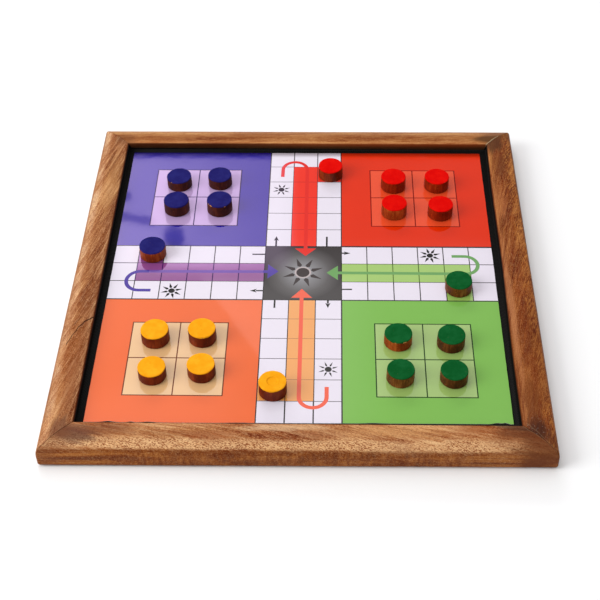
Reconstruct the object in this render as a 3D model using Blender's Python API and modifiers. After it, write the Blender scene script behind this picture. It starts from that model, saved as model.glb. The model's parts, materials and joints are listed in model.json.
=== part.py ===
# Two-sided board game set in a mitred hardwood frame: a 15 x 15 race board
# faces up in a shallow tray, a 10 x 10 numbered snakes-and-ladders board faces
# down, and twenty wooden disc tokens with a magnet in each stand on the upper side.
# Metres, +Z up.  The origin is the middle of the frame's underside; the players'
# near side is -Y.
import math

import bmesh
import bpy
from mathutils import Matrix, Vector

# ---------------------------------------------------------------- dimensions
OVERALL = 0.3030        # frame, outside to outside (a 12 in board)
THICK = 0.0176          # frame, underside to crest
RAIL_W = 0.0201         # width of one rail in plan
FACE_HIGH = 0.0120      # upper printed face above the underside
FACE_LOW = 0.0060       # lower printed face above the underside
CELL = 0.0170           # one square of the 15 x 15 field
PRINT_W = 0.2536        # printed sheet (10 in), trimmed just inside the field
SHEET_T = 0.00035       # printed sheet, laminated
LINING_T = 0.00035      # black textured lining sheet
STEEL_T = 0.00040       # steel sheet that the magnets hold to
GLUE = 0.00015          # glue line between two flat layers
CLEAR = 0.00030         # clearance between shaped pieces

SIDE_Z = 0.0080         # height at which the rail is widest
BOTTOM_R = 0.0026       # round under the outer edge
INNER_R = 0.0009        # small round on the two inner edges
INNER_DROP = 0.0006     # how much lower the inner edge is than the crest
CORNER_R = 0.0014       # round of the frame's four corners in plan
MITRE_GAP = 0.00015     # half of the glue line in a mitre
GROOVE_D = 0.0043       # depth of the groove that holds the panel's edge
PANEL_LAP = 0.0040      # how far the panel's edge runs into the groove
TURN_UP = 0.0044        # how far the lining's edges stand up against the rails

BRAD_R = 0.0006         # brad through each mitre: shank
BRAD_HEAD_R = 0.0009
BRAD_LEN = 0.0200
BRAD_IN = 0.0085        # distance of a brad from the frame's side
BRAD_SET = 0.0022       # how deep the head is set, under filler
BRAD_Z_LOW = 0.0048     # brads driven from the front and back faces
BRAD_Z_HIGH = 0.0105    # brads driven from the left and right faces

TOKEN_D = 0.0176        # hand-cut disc, nominal, across its foot
TOKEN_H = 0.0087
TOKEN_TAPER = 0.00015   # how much smaller the radius is at the top
TOKEN_EASE = 0.0005     # eased rim
MAGNET_D = 0.0080
MAGNET_T = 0.0030
MAGNET_SET = 0.0002     # magnet's face above the token's underside
TOKEN_STEPS = 24        # facets round a token
MAGNET_STEPS = 16

HALF = OVERALL / 2
INSIDE = HALF - RAIL_W                       # half of the frame's opening
PRINT_TOP = FACE_HIGH
PRINT_LOW = FACE_LOW
PANEL_HALF = INSIDE + PANEL_LAP
CORE_T = (PRINT_TOP - PRINT_LOW) - 2 * (SHEET_T + LINING_T + STEEL_T) - 6 * GLUE
GROOVE_LOW = PRINT_LOW + SHEET_T + LINING_T + 2 * GLUE - CLEAR
GROOVE_TOP = PRINT_TOP - SHEET_T - LINING_T - 2 * GLUE + CLEAR

# Where each token stands, in squares from the back left corner of the field
# (x to the right, y towards the players), and how its size differs from the
# nominal one (diameter, height, in millimetres), as hand-cut discs do.
TOKENS = {
    "blue": [(1.56, 6.50, 0.3, -0.5), (2.22, 2.19, 0.1, -0.8), (3.92, 2.10, -0.5, -0.6),
             (2.25, 3.77, 0.3, 0.2), (4.01, 3.77, 0.3, 0.5)],
    "red": [(8.55, 1.52, 0.0, 0.0), (11.17, 2.26, 0.2, 0.6), (12.97, 2.23, 0.0, 0.4),
            (11.15, 3.93, 0.1, 0.5), (13.02, 3.98, -0.1, 0.5)],
    "yellow": [(6.56, 13.55, -0.3, 0.6), (2.15, 11.08, 0.3, 0.5), (3.88, 11.02, 0.1, 0.7),
               (2.22, 12.85, 0.0, -0.3), (3.98, 12.72, 0.1, 0.1)],
    "green": [(13.46, 8.33, 0.0, -0.7), (11.06, 11.13, 0.1, -0.7), (12.98, 11.21, -0.1, 0.0),
              (11.08, 12.89, -0.3, -0.3), (12.98, 12.90, -0.4, -0.6)],
}

# ---------------------------------------------------------------- fresh scene
for old in list(bpy.data.objects):
    bpy.data.objects.remove(old, do_unlink=True)

parts = bpy.data.collections.new("snakes_and_ladders_board")
cutters = bpy.data.collections.new("cutters")
bpy.context.scene.collection.children.link(parts)
bpy.context.scene.collection.children.link(cutters)


def finish(name, colour, roughness, metallic=0.0):
    """A plain shader with the piece's colour, roughness and metallic value."""
    m = bpy.data.materials.get(name) or bpy.data.materials.new(name)
    m.use_nodes = True
    m.diffuse_color = (*colour, 1.0)
    b = m.node_tree.nodes["Principled BSDF"]
    b.inputs["Base Color"].default_value = (*colour, 1.0)
    b.inputs["Roughness"].default_value = roughness
    b.inputs["Metallic"].default_value = metallic
    return m


WOOD = {n: finish(f"{n}_wood", c, 0.42) for n, c in {
    "front_rail": (0.36, 0.17, 0.065), "back_rail": (0.31, 0.14, 0.052),
    "left_rail": (0.40, 0.20, 0.080), "right_rail": (0.27, 0.11, 0.040)}.items()}


def put(name, mesh, material, collection=None, location=(0, 0, 0), parent=None):
    """One named object in the parts collection, at its place."""
    ob = bpy.data.objects.new(name, mesh)
    (collection or parts).objects.link(ob)
    ob.location = location
    if parent is not None:
        ob.parent = parent
        ob.location = tuple(a - b for a, b in zip(location, parent.matrix_world.translation))
    if material is not None and not mesh.materials:
        mesh.materials.append(material)
    bpy.context.view_layer.update()
    return ob


def as_cutter(ob):
    ob.hide_render = True
    ob.display_type = "WIRE"
    return ob


def empty(name, location=(0, 0, 0)):
    e = bpy.data.objects.new(name, None)
    e.location = location
    parts.objects.link(e)
    bpy.context.view_layer.update()
    return e


# ---------------------------------------------------------------- outlines
def arc(cx, cy, rx, ry, a0, a1, n):
    """n + 1 points on an ellipse from angle a0 to a1, in degrees."""
    out = []
    for i in range(n + 1):
        a = math.radians(a0 + (a1 - a0) * i / n)
        out.append((cx + rx * math.cos(a), cy + ry * math.sin(a)))
    return out


def rail_section():
    """Outline of a rail: x in from the outer face, y up from the underside."""
    pts = []
    # round under the outer edge, then the slightly bellied outer side
    pts += arc(BOTTOM_R, BOTTOM_R, BOTTOM_R, BOTTOM_R, 270, 180, 4)
    pts += [(0.0, SIDE_Z), (0.00010, 0.0097), (0.00032, 0.0112), (0.00065, 0.0124), (0.00100, 0.0132)]
    # eased edge, then a shallow bevel that bends up to the crest
    pts += [(0.00140, 0.0138), (0.0019, 0.01425), (0.0026, 0.01465)]
    pts += [(0.0038, 0.01520), (0.0052, 0.01576), (0.0068, 0.01633), (0.0086, 0.01686), (0.0104, 0.01728),
            (0.0121, 0.01754), (0.0136, THICK)]
    # the crown falls a little to the inner edge, which is eased
    pts += [(0.0156, THICK - INNER_DROP * 0.25), (0.0176, THICK - INNER_DROP * 0.62)]
    pts += arc(RAIL_W - INNER_R, THICK - INNER_DROP - INNER_R, INNER_R, INNER_R, 80, 0, 3)
    # down the inner face, round the groove, down to the lower inner edge
    pts.append((RAIL_W, GROOVE_TOP))
    pts.append((RAIL_W - GROOVE_D, GROOVE_TOP))
    pts.append((RAIL_W - GROOVE_D, GROOVE_LOW))
    pts.append((RAIL_W, GROOVE_LOW))
    pts += arc(RAIL_W - INNER_R, INNER_R, INNER_R, INNER_R, 0, -90, 3)
    return pts


def rounded_square(half, radius, steps):
    pts = []
    for k, (sx, sy) in enumerate(((1, 1), (-1, 1), (-1, -1), (1, -1))):
        pts += arc(sx * (half - radius), sy * (half - radius), radius, radius,
                   90 * k, 90 * k + 90, steps)
    return pts


def slab_from_outline(name, pts, half_depth, material=None, matrix=None, collection=None):
    """A flat closed outline, filled and thickened, as a welded mesh."""
    cu = bpy.data.curves.new(name + "_outline", "CURVE")
    cu.dimensions = "2D"
    cu.fill_mode = "BOTH"
    cu.extrude = half_depth
    sp = cu.splines.new("POLY")
    sp.points.add(len(pts) - 1)
    for p, (x, y) in zip(sp.points, pts):
        p.co = (x, y, 0, 1)
    sp.use_cyclic_u = True
    co = bpy.data.objects.new(name + "_outline", cu)
    cutters.objects.link(co)
    if matrix is not None:
        co.matrix_world = matrix
    bpy.context.view_layer.update()
    dep = bpy.context.evaluated_depsgraph_get()
    me = bpy.data.meshes.new_from_object(co.evaluated_get(dep))
    bm = bmesh.new()
    bm.from_mesh(me)
    bmesh.ops.remove_doubles(bm, verts=bm.verts, dist=1e-6)
    bmesh.ops.recalc_face_normals(bm, faces=bm.faces)
    if matrix is not None:
        bmesh.ops.transform(bm, matrix=matrix, verts=bm.verts)
    bm.to_mesh(me)
    bm.free()
    bpy.data.objects.remove(co, do_unlink=True)
    bpy.data.curves.remove(cu)
    me.name = name
    return put(name, me, material, collection)


def cut_by(ob, plane_co, plane_no):
    """Cut off what lies on the far side of a plane and cap the cut."""
    bm = bmesh.new()
    bm.from_mesh(ob.data)
    geom = list(bm.verts) + list(bm.edges) + list(bm.faces)
    res = bmesh.ops.bisect_plane(bm, geom=geom, dist=1e-7, plane_co=plane_co,
                                 plane_no=plane_no, clear_outer=True)
    rim = [e for e in res["geom_cut"] if isinstance(e, bmesh.types.BMEdge)]
    bmesh.ops.contextual_create(bm, geom=rim)
    bmesh.ops.recalc_face_normals(bm, faces=bm.faces)
    bm.to_mesh(ob.data)
    bm.free()


def smooth(ob, degrees=35):
    ob.data.shade_smooth()
    ob.data.set_sharp_from_angle(angle=math.radians(degrees))


# ---------------------------------------------------------------- frame rails
board = empty("board")
section = rail_section()

corner_cutter = as_cutter(slab_from_outline(
    "corner_cutter", rounded_square(HALF, CORNER_R, 5), THICK, None,
    Matrix.Translation((0, 0, THICK / 2)), cutters))

# Brads: one from each side of every corner, through the mitre, both short of
# the outer faces.  Their holes start under the filler and end blind.
BRADS = []
for sx in (-1, 1):
    for sy in (-1, 1):
        corner = ("front" if sy < 0 else "back") + "_" + ("left" if sx < 0 else "right")
        BRADS.append((f"{corner}_brad_low", (sx * (HALF - BRAD_IN), sy * (HALF - BRAD_SET), BRAD_Z_LOW),
                      (0, -sy, 0)))
        BRADS.append((f"{corner}_brad_high", (sx * (HALF - BRAD_SET), sy * (HALF - BRAD_IN), BRAD_Z_HIGH),
                      (-sx, 0, 0)))


def along(direction):
    """Rotation that turns +Z to a level direction along X or Y."""
    dx, dy, _ = direction
    if dx:
        return Matrix.Rotation(math.radians(90 * dx), 4, "Y")
    return Matrix.Rotation(math.radians(-90 * dy), 4, "X")


bm = bmesh.new()
for _, head, direction in BRADS:
    hole_r = BRAD_HEAD_R + CLEAR
    length = BRAD_LEN + 2 * CLEAR
    m = Matrix.Translation(head) @ along(direction) @ Matrix.Translation((0, 0, length / 2 - CLEAR))
    bmesh.ops.create_cone(bm, cap_ends=True, segments=10, radius1=hole_r, radius2=hole_r,
                          depth=length, matrix=m)
hole_mesh = bpy.data.meshes.new("brad_holes")
bm.to_mesh(hole_mesh)
bm.free()
hole_cutter = as_cutter(put("brad_hole_cutter", hole_mesh, None, cutters))

for k, name in enumerate(("front_rail", "right_rail", "back_rail", "left_rail")):
    turn = Matrix.Rotation(math.radians(90 * k), 4, "Z")
    # section: x runs in from the outer face, y runs up, the depth runs along the rail
    place = turn @ Matrix(((0, 0, 1, 0), (1, 0, 0, -HALF), (0, 1, 0, 0), (0, 0, 0, 1)))
    rail = slab_from_outline(name, section, HALF + 0.002, WOOD[name], place)
    rail.parent = board
    for side in (-1, 1):
        normal = turn.to_3x3() @ Vector((side, 1, 0)).normalized()
        point = turn.to_3x3() @ Vector((0, -MITRE_GAP * math.sqrt(2), 0))
        cut_by(rail, point, normal)
    mod = rail.modifiers.new("round_corners", "BOOLEAN")
    mod.operation = "INTERSECT"
    mod.object = corner_cutter
    mod = rail.modifiers.new("brad_holes", "BOOLEAN")
    mod.operation = "DIFFERENCE"
    mod.object = hole_cutter
    smooth(rail)


# ---------------------------------------------------------------- turned pieces
def turned(name, profile, steps, material, location, parent=None):
    """Turn a profile (x out, y up) about Z; it runs down the outer side."""
    me = bpy.data.meshes.new(name + "_profile")
    me.from_pydata([(x, 0, z) for x, z in profile],
                   [(i, i + 1) for i in range(len(profile) - 1)], [])
    ob = bpy.data.objects.new(name + "_profile", me)
    cutters.objects.link(ob)
    sc = ob.modifiers.new("turn", "SCREW")
    sc.axis = "Z"
    sc.angle = math.tau
    sc.steps = sc.render_steps = steps
    sc.use_merge_vertices = True
    sc.merge_threshold = 1e-6
    bpy.context.view_layer.update()
    out = bpy.data.meshes.new_from_object(ob.evaluated_get(bpy.context.evaluated_depsgraph_get()))
    bpy.data.objects.remove(ob, do_unlink=True)
    out.name = name
    out.materials.clear()
    piece = put(name, out, material, None, location, parent)
    smooth(piece)
    return piece


def brad_profile():
    """Finishing brad, head at the origin, point at +Z = BRAD_LEN."""
    tip = 0.0016
    return [(0, BRAD_LEN), (BRAD_R, BRAD_LEN - tip), (BRAD_R, 0.0012), (BRAD_HEAD_R, 0.0008),
            (BRAD_HEAD_R, 0), (0, 0)]


steel = finish("brad_steel", (0.45, 0.44, 0.42), 0.35, 1.0)
for name, head, direction in BRADS:
    b = turned(name, brad_profile(), 8, steel, head)
    b.rotation_euler = along(direction).to_euler()
    b.parent = board
bpy.context.view_layer.update()


# ---------------------------------------------------------------- panel layers
def sheet(name, half, low, thick, material):
    """A flat square layer."""
    bm = bmesh.new()
    bmesh.ops.create_cube(bm, size=1.0)
    bmesh.ops.scale(bm, vec=(2 * half, 2 * half, thick), verts=bm.verts)
    me = bpy.data.meshes.new(name)
    bm.to_mesh(me)
    bm.free()
    return put(name, me, material, None, (0, 0, low + thick / 2), board)


def lining(name, low, up):
    """A sheet with its four edges folded (up: 1 upwards, -1 downwards) against the rails."""
    out, high = INSIDE - GLUE, LINING_T + TURN_UP
    bm = bmesh.new()
    bmesh.ops.create_cube(bm, size=1.0)
    bmesh.ops.scale(bm, vec=(2 * out, 2 * out, high), verts=bm.verts)
    bm.normal_update()
    face = [f for f in bm.faces if f.normal.z > 0.5]
    bmesh.ops.inset_region(bm, faces=face, thickness=LINING_T)
    floor = bmesh.ops.extrude_discrete_faces(bm, faces=face)["faces"]
    bmesh.ops.translate(bm, vec=(0, 0, -TURN_UP), verts=floor[0].verts)
    bmesh.ops.translate(bm, vec=(0, 0, (high - LINING_T) / 2), verts=bm.verts)
    if up < 0:
        bmesh.ops.rotate(bm, cent=(0, 0, 0), matrix=Matrix.Rotation(math.pi, 3, "X"), verts=bm.verts)
    me = bpy.data.meshes.new(name)
    bm.to_mesh(me)
    bm.free()
    return put(name, me, black, None, (0, 0, low + LINING_T / 2), board)


black = finish("lining_black", (0.012, 0.011, 0.010), 0.75)
tin = finish("steel_sheet_grey", (0.42, 0.43, 0.44), 0.35, 1.0)
STACK = [
    ("snakes_print", PRINT_W / 2, SHEET_T, finish("snakes_print_face", (0.80, 0.74, 0.55), 0.2)),
    ("lower_lining", INSIDE, LINING_T, black),
    ("lower_steel_sheet", PANEL_HALF, STEEL_T, tin),
    ("core_board", PANEL_HALF, CORE_T, finish("core_board_brown", (0.30, 0.19, 0.10), 0.8)),
    ("upper_steel_sheet", PANEL_HALF, STEEL_T, tin),
    ("upper_lining", INSIDE, LINING_T, black),
    ("ludo_print", PRINT_W / 2, SHEET_T, finish("ludo_print_face", (0.70, 0.55, 0.50), 0.15)),
]
z = PRINT_LOW
for name, half, thick, material in STACK:
    if material == black:
        lining(name, z, 1 if "upper" in name else -1)
    else:
        sheet(name, half, z, thick, material)
    z += thick + GLUE


# ---------------------------------------------------------------- tokens
def token_profile(r, h):
    """Disc with eased rims and a blind seat for its magnet underneath."""
    e = TOKEN_EASE
    seat_r = MAGNET_D / 2 + CLEAR
    seat_h = MAGNET_SET + MAGNET_T + CLEAR
    top = r - TOKEN_TAPER
    return [(0, h), (top - e, h), (top, h - e), (r, e), (r - e, 0), (seat_r, 0),
            (seat_r, seat_h), (0, seat_h)]


def magnet_profile():
    r, t = MAGNET_D / 2, MAGNET_T
    return [(0, t), (r, t), (r, 0), (0, 0)]


PAINT = {"blue": (0.022, 0.022, 0.17), "red": (0.72, 0.01, 0.005),
         "yellow": (0.95, 0.42, 0.02), "green": (0.008, 0.11, 0.028)}
magnet_grey = finish("magnet_grey", (0.10, 0.10, 0.11), 0.45, 0.6)
for colour, places in TOKENS.items():
    paint = finish(f"{colour}_token_paint", PAINT[colour], 0.35)
    for i, (cx, cy, dd, dh) in enumerate(places):
        x = (cx - 7.5) * CELL
        y = (7.5 - cy) * CELL
        base = PRINT_TOP + GLUE
        r = (TOKEN_D + dd / 1000) / 2
        h = TOKEN_H + dh / 1000
        disc = turned(f"{colour}_token_{i + 1}", token_profile(r, h), TOKEN_STEPS, paint, (x, y, base))
        turned(f"{colour}_token_{i + 1}_magnet", magnet_profile(), MAGNET_STEPS, magnet_grey,
               (x, y, base + MAGNET_SET), disc)
bpy.context.view_layer.update()
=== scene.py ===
import json
import math
import random

import bpy
import numpy as np
from mathutils import Matrix, Vector, noise
from mathutils.geometry import delaunay_2d_cdt


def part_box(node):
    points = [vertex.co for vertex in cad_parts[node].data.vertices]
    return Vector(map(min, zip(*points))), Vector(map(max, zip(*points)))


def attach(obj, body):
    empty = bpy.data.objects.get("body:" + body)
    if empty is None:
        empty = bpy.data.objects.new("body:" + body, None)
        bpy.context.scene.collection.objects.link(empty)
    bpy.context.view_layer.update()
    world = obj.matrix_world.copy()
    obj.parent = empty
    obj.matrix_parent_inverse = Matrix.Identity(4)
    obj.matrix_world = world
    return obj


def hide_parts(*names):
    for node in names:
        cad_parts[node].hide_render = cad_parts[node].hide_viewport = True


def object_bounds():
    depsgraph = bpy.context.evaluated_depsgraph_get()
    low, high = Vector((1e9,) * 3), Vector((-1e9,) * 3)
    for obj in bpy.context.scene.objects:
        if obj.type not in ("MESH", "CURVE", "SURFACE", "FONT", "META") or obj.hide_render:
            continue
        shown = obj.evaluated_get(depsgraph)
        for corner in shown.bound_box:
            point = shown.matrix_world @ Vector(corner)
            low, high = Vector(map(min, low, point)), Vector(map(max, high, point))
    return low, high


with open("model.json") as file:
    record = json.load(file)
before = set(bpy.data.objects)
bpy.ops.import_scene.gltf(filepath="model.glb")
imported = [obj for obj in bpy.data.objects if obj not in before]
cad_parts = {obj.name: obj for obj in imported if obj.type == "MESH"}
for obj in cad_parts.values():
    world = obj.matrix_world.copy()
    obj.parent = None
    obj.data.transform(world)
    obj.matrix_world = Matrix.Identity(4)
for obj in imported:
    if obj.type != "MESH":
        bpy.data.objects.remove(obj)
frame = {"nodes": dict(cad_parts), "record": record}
cad_low, cad_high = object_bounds()

MM = 0.001
CELL = 0.0170                       # one square of the 15 x 15 field
HALF = cad_high.x                   # half of the frame's width
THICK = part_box("front_rail")[1].z   # crest of the rails
RAIL_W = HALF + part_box("front_rail")[1].y
INSIDE = HALF - RAIL_W


# ---------------------------------------------------------------- shader helpers
def lin(r, g, b):
    """An sRGB colour of 0-255 as linear values."""
    out = []
    for c in (r, g, b):
        c /= 255
        out.append(c / 12.92 if c <= 0.04045 else ((c + 0.055) / 1.055) ** 2.4)
    return tuple(out)


class Shader:
    """A node material under construction."""

    def __init__(self, name):
        self.mat = bpy.data.materials.new(name)
        self.mat.use_nodes = True
        self.tree = self.mat.node_tree
        self.bsdf = self.tree.nodes["Principled BSDF"]

    def node(self, kind, props=None, inputs=None):
        n = self.tree.nodes.new("ShaderNode" + kind)
        for k, v in (props or {}).items():
            setattr(n, k, v)
        for k, v in (inputs or {}).items():
            self.feed(n.inputs[k], v)
        return n

    def feed(self, socket, value):
        if isinstance(value, bpy.types.NodeSocket):
            self.tree.links.new(value, socket)
        else:
            if hasattr(socket.default_value, "__len__") and len(socket.default_value) == 4 and len(value) == 3:
                value = (*value, 1.0)
            socket.default_value = value

    def set(self, **values):
        for k, v in values.items():
            self.feed(self.bsdf.inputs[k.replace("_", " ")], v)

    def coords(self):
        return self.node("TexCoord").outputs["Object"]

    def mapping(self, vec, loc=(0, 0, 0), rot=(0, 0, 0), scale=(1, 1, 1)):
        return self.node("Mapping", inputs={"Vector": vec, "Location": loc, "Rotation": rot,
                                            "Scale": scale}).outputs["Vector"]

    def noise(self, vec, scale=1.0, detail=2.0, rough=0.5, distort=0.0):
        return self.node("TexNoise", inputs={"Vector": vec, "Scale": scale, "Detail": detail,
                                             "Roughness": rough, "Distortion": distort}).outputs["Fac"]

    def voronoi(self, vec, scale=1.0, feature="F1", out="Distance", randomness=1.0):
        return self.node("TexVoronoi", {"feature": feature},
                         {"Vector": vec, "Scale": scale, "Randomness": randomness}).outputs[out]

    def math(self, op, a, b=0.0, c=0.0, clamp=False):
        n = self.node("Math", {"operation": op, "use_clamp": clamp})
        for i, v in enumerate((a, b, c)):
            self.feed(n.inputs[i], v)
        return n.outputs[0]

    def vmath(self, op, a, b=None):
        n = self.node("VectorMath", {"operation": op})
        self.feed(n.inputs[0], a)
        if b is not None:
            self.feed(n.inputs[1], b)
        return n.outputs["Value"] if op in ("LENGTH", "DISTANCE", "DOT_PRODUCT") else n.outputs["Vector"]

    def range(self, x, lo, hi, to_lo=0.0, to_hi=1.0, kind="SMOOTHSTEP"):
        return self.node("MapRange", {"interpolation_type": kind, "clamp": True} if kind == "LINEAR"
                         else {"interpolation_type": kind},
                         {"Value": x, "From Min": lo, "From Max": hi, "To Min": to_lo,
                          "To Max": to_hi}).outputs["Result"]

    def mix(self, fac, a, b, blend="MIX"):
        n = self.node("Mix", {"data_type": "RGBA", "blend_type": blend, "clamp_factor": True})
        self.feed(n.inputs[0], fac)
        self.feed(n.inputs[6], a)
        self.feed(n.inputs[7], b)
        return n.outputs[2]

    def ramp(self, fac, stops, mode="LINEAR"):
        n = self.node("ValToRGB", inputs={"Fac": fac})
        n.color_ramp.interpolation = mode
        els = n.color_ramp.elements
        while len(els) < len(stops):
            els.new(0.5)
        for e, (at, colour) in zip(els, stops):
            e.position = at
            e.color = (*colour, 1.0)
        return n.outputs["Color"]

    def split(self, vec):
        n = self.node("SeparateXYZ", inputs={"Vector": vec})
        return n.outputs["X"], n.outputs["Y"], n.outputs["Z"]

    def join(self, x, y, z):
        return self.node("CombineXYZ", inputs={"X": x, "Y": y, "Z": z}).outputs["Vector"]

    def bump(self, height, distance, strength=1.0, normal=None):
        n = self.node("Bump", inputs={"Height": height, "Distance": distance, "Strength": strength})
        if normal is not None:
            self.feed(n.inputs["Normal"], normal)
        return n.outputs["Normal"]


# ---------------------------------------------------------------- wood of the rails
# Oiled, interlocked hardwood.  In a rail's own coordinates g runs along the
# rail, a runs in from the outer face and z runs up.
UMBER = lin(58, 27, 12)


def rail_wood(name, k, seed, slant, across, side, lite, band=None, glint=0.0, pores=(1.0, 1.0), force=1.0,
              short=1.0, patches=(), marks=()):
    """k: quarter turns from the front rail. slant: how far the figure leans from the
    rail's length, in degrees, at the outer and at the inner edge. across: (fraction
    of the width in from the outer face, colour). side: dark, middle and light colour
    of the outer side. lite: colour of the pale streaks. band: colour of a paler,
    open-pored stretch on the bevel, partly a painted highlight. glint: strength of golden strokes near the outer
    edge. pores: how strong the pores are on the crown and on the bevel. force:
    strength of the figure. short: how much shorter its flames are. patches:
    (g, a, radius g, radius a, strength, colour, specks). marks, such as cracks:
    (start, end, half width, colour, strength, depth)."""
    s = Shader(name)
    local = s.mapping(s.coords(), rot=(0, 0, -math.pi / 2 * k))
    gx, ay, z = s.split(local)
    a = s.math("ADD", ay, HALF)
    flat = s.join(gx, a, z)

    # the figure drifts off the rail's line and wanders a little
    drift = s.noise(s.mapping(flat, loc=(seed, 0, 0), scale=(9, 26, 26)), detail=1.5)
    wander = s.math("MULTIPLY", s.math("SUBTRACT", drift, 0.5), 0.010)
    lean = math.radians(abs(slant[0]))
    steep, end = 1 / math.tan(lean), 1 / math.tan(math.radians(abs(slant[1])))
    bend = s.math("MULTIPLY", s.math("MULTIPLY", a, a), (end - steep) / RAIL_W / 2)
    reach = s.math("ADD", s.math("MULTIPLY", a, steep), bend)
    reach = s.math("MULTIPLY", reach, 1 if slant[0] < 0 else -1)
    over = s.math("ADD", s.math("MULTIPLY", s.math("ADD", gx, reach), math.sin(lean)), wander)
    along = s.math("SUBTRACT", s.math("MULTIPLY", gx, math.cos(lean)),
                   s.math("MULTIPLY", a, math.sin(lean) * (1 if slant[0] < 0 else -1)))
    grain = s.join(along, over, z)

    def figure(loc, scale, detail, rough=0.55, where=grain):
        scale = (scale[0] * short, scale[1], scale[2])
        return s.noise(s.mapping(where, loc=loc, scale=scale), detail=detail, rough=rough)

    broad = figure((seed * 3.1, seed, 0), (11, 85, 60), 2)
    flame = figure((seed * 2.3, 1, seed), (20, 300, 200), 3, 0.55)
    streak = figure((seed, seed * 2, 1), (55, 950, 620), 3, 0.6)
    stroke_n = figure((3, seed, 8), (150, 1700, 1200), 2, 0.5)
    dash = figure((seed, 5, seed), (620, 2300, 1700), 1.0, 0.5)
    fine = figure((7, seed, 4), (900, 3400, 2700), 2, 0.6)
    zone = figure((seed * 1.7, 2, 3), (13, 60, 60), 2, 0.5, flat)
    cluster = figure((seed, 9, 9), (34, 90, 90), 1.5, 0.5, flat)

    deep = lin(200, 144, 94)
    colour = s.ramp(s.math("MULTIPLY", a, 1 / RAIL_W), across)
    colour = s.mix(s.range(broad, 0.46, 0.68, 0.0, 0.90 * force), colour, deep, "MULTIPLY")
    colour = s.mix(s.range(broad, 0.50, 0.30, 0.0, 0.55 * force), colour, lite)
    colour = s.mix(s.range(zone, 0.50, 0.70, 0.0, 0.80 * force), colour, deep, "MULTIPLY")
    colour = s.mix(s.range(zone, 0.48, 0.30, 0.0, 0.38 * force), colour, lite)
    colour = s.mix(s.range(flame, 0.49, 0.67, 0.0, 0.72 * force), colour, deep, "MULTIPLY")
    colour = s.mix(s.range(flame, 0.48, 0.32, 0.0, 0.48 * force), colour, lite)
    colour = s.mix(s.range(streak, 0.51, 0.68, 0.0, 0.58 * force), colour, deep, "MULTIPLY")
    colour = s.mix(s.range(streak, 0.46, 0.31, 0.0, 0.34 * force), colour, lite)

    if band is not None:
        # a pale stretch on the bevel with dense short pores: partly sapwood laid open, partly a painted highlight where
        # the bevel faces the top light
        edge = s.math("MULTIPLY", s.math("SUBTRACT", zone, 0.5), 0.006)
        at = s.math("ADD", a, edge)
        bevel_band_and_highlight = s.math("MULTIPLY", s.range(at, 0.0020, 0.0034), s.range(at, 0.0100, 0.0068))
        fade = s.math("MULTIPLY", s.range(gx, 0.136, 0.118), s.range(cluster, 0.24, 0.50, 0.50, 1.0))
        bevel_band_and_highlight = s.math("MULTIPLY", bevel_band_and_highlight, fade)
        colour = s.mix(s.math("MULTIPLY", bevel_band_and_highlight, 0.72), colour, band)
        bevel_band_and_highlight = s.math("MULTIPLY", bevel_band_and_highlight, 0.35)
    else:
        bevel_band_and_highlight = 0.0

    # the outer side is darker: partly darker heartwood, partly painted shade for a face that the light barely reaches
    side_on = s.math("MULTIPLY", s.range(a, 0.0036, 0.0014), s.range(z, 0.0153, 0.0137))
    calm = s.math("MAXIMUM", s.range(gx, -0.098, -0.128), s.range(gx, 0.085, 0.115))
    lay = s.noise(s.mapping(flat, loc=(seed, 3, 1), scale=(16, 200, 420)), detail=2.5, rough=0.55)
    comb = s.noise(s.mapping(flat, loc=(seed, 4, 1), scale=(430, 500, 120)), detail=3, rough=0.6)
    cloud = s.noise(s.mapping(flat, loc=(seed, 6, 1), scale=(70, 90, 150)), detail=2, rough=0.5)
    mottled = s.math("ADD", s.math("MULTIPLY", lay, 0.25), s.math("MULTIPLY", comb, 0.40))
    mottled = s.math("ADD", mottled, s.math("MULTIPLY", cloud, 0.35))
    mottled = s.mix(calm, mottled, lay)
    side_heart_and_shade = s.ramp(mottled, [(0.40, side[0]), (0.50, side[1]), (0.61, side[2])])
    side_heart_and_shade = s.mix(s.math("MULTIPLY", s.range(z, 0.0118, 0.0136), 0.55), side_heart_and_shade, side[0])
    colour = s.mix(s.math("MULTIPLY", side_on, 0.94), colour, side_heart_and_shade)

    # fine strokes, short open pores and the bright flecks between them; the bright flecks are partly pale wood, partly
    # painted glints
    calm_side = s.math("SUBTRACT", 1.0, s.math("MULTIPLY", side_on, 0.6))
    colour = s.mix(s.math("MULTIPLY", s.range(stroke_n, 0.52, 0.65, 0.0, 0.58), calm_side), colour, deep, "MULTIPLY")
    colour = s.mix(s.math("MULTIPLY", s.range(stroke_n, 0.46, 0.33, 0.0, 0.32), calm_side), colour, lite)
    crown = s.range(a, 0.0085, 0.0115)
    open_part = s.math("MULTIPLY", s.range(crown, 0.0, 1.0, pores[1], pores[0], "LINEAR"), calm_side)
    need = s.math("SUBTRACT", 0.57, s.math("MULTIPLY", s.range(cluster, 0.35, 0.65), 0.05))
    need = s.math("SUBTRACT", need, s.math("MULTIPLY", bevel_band_and_highlight, 0.10))
    pore = s.math("MULTIPLY", s.range(s.math("SUBTRACT", dash, need), 0.0, 0.10), open_part)
    pale = s.math("MULTIPLY", s.range(dash, 0.46, 0.32), open_part)
    deepen = 0.70 if band is None else s.math("ADD", 0.62, s.math("MULTIPLY", bevel_band_and_highlight, 0.85))
    colour = s.mix(s.math("MULTIPLY", pore, deepen), colour, lin(156, 100, 66), "MULTIPLY")
    colour = s.mix(s.math("MULTIPLY", pale, 0.26), colour, lin(238, 190, 132))
    colour = s.mix(s.range(fine, 0.50, 0.65, 0.0, 0.40), colour, lin(170, 122, 86), "MULTIPLY")
    colour = s.mix(s.range(fine, 0.46, 0.32, 0.0, 0.16), colour, lin(240, 192, 128))
    if glint:
        where = s.math("MULTIPLY", s.range(a, 0.0005, 0.0025), s.range(a, 0.0115, 0.0060))
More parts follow.
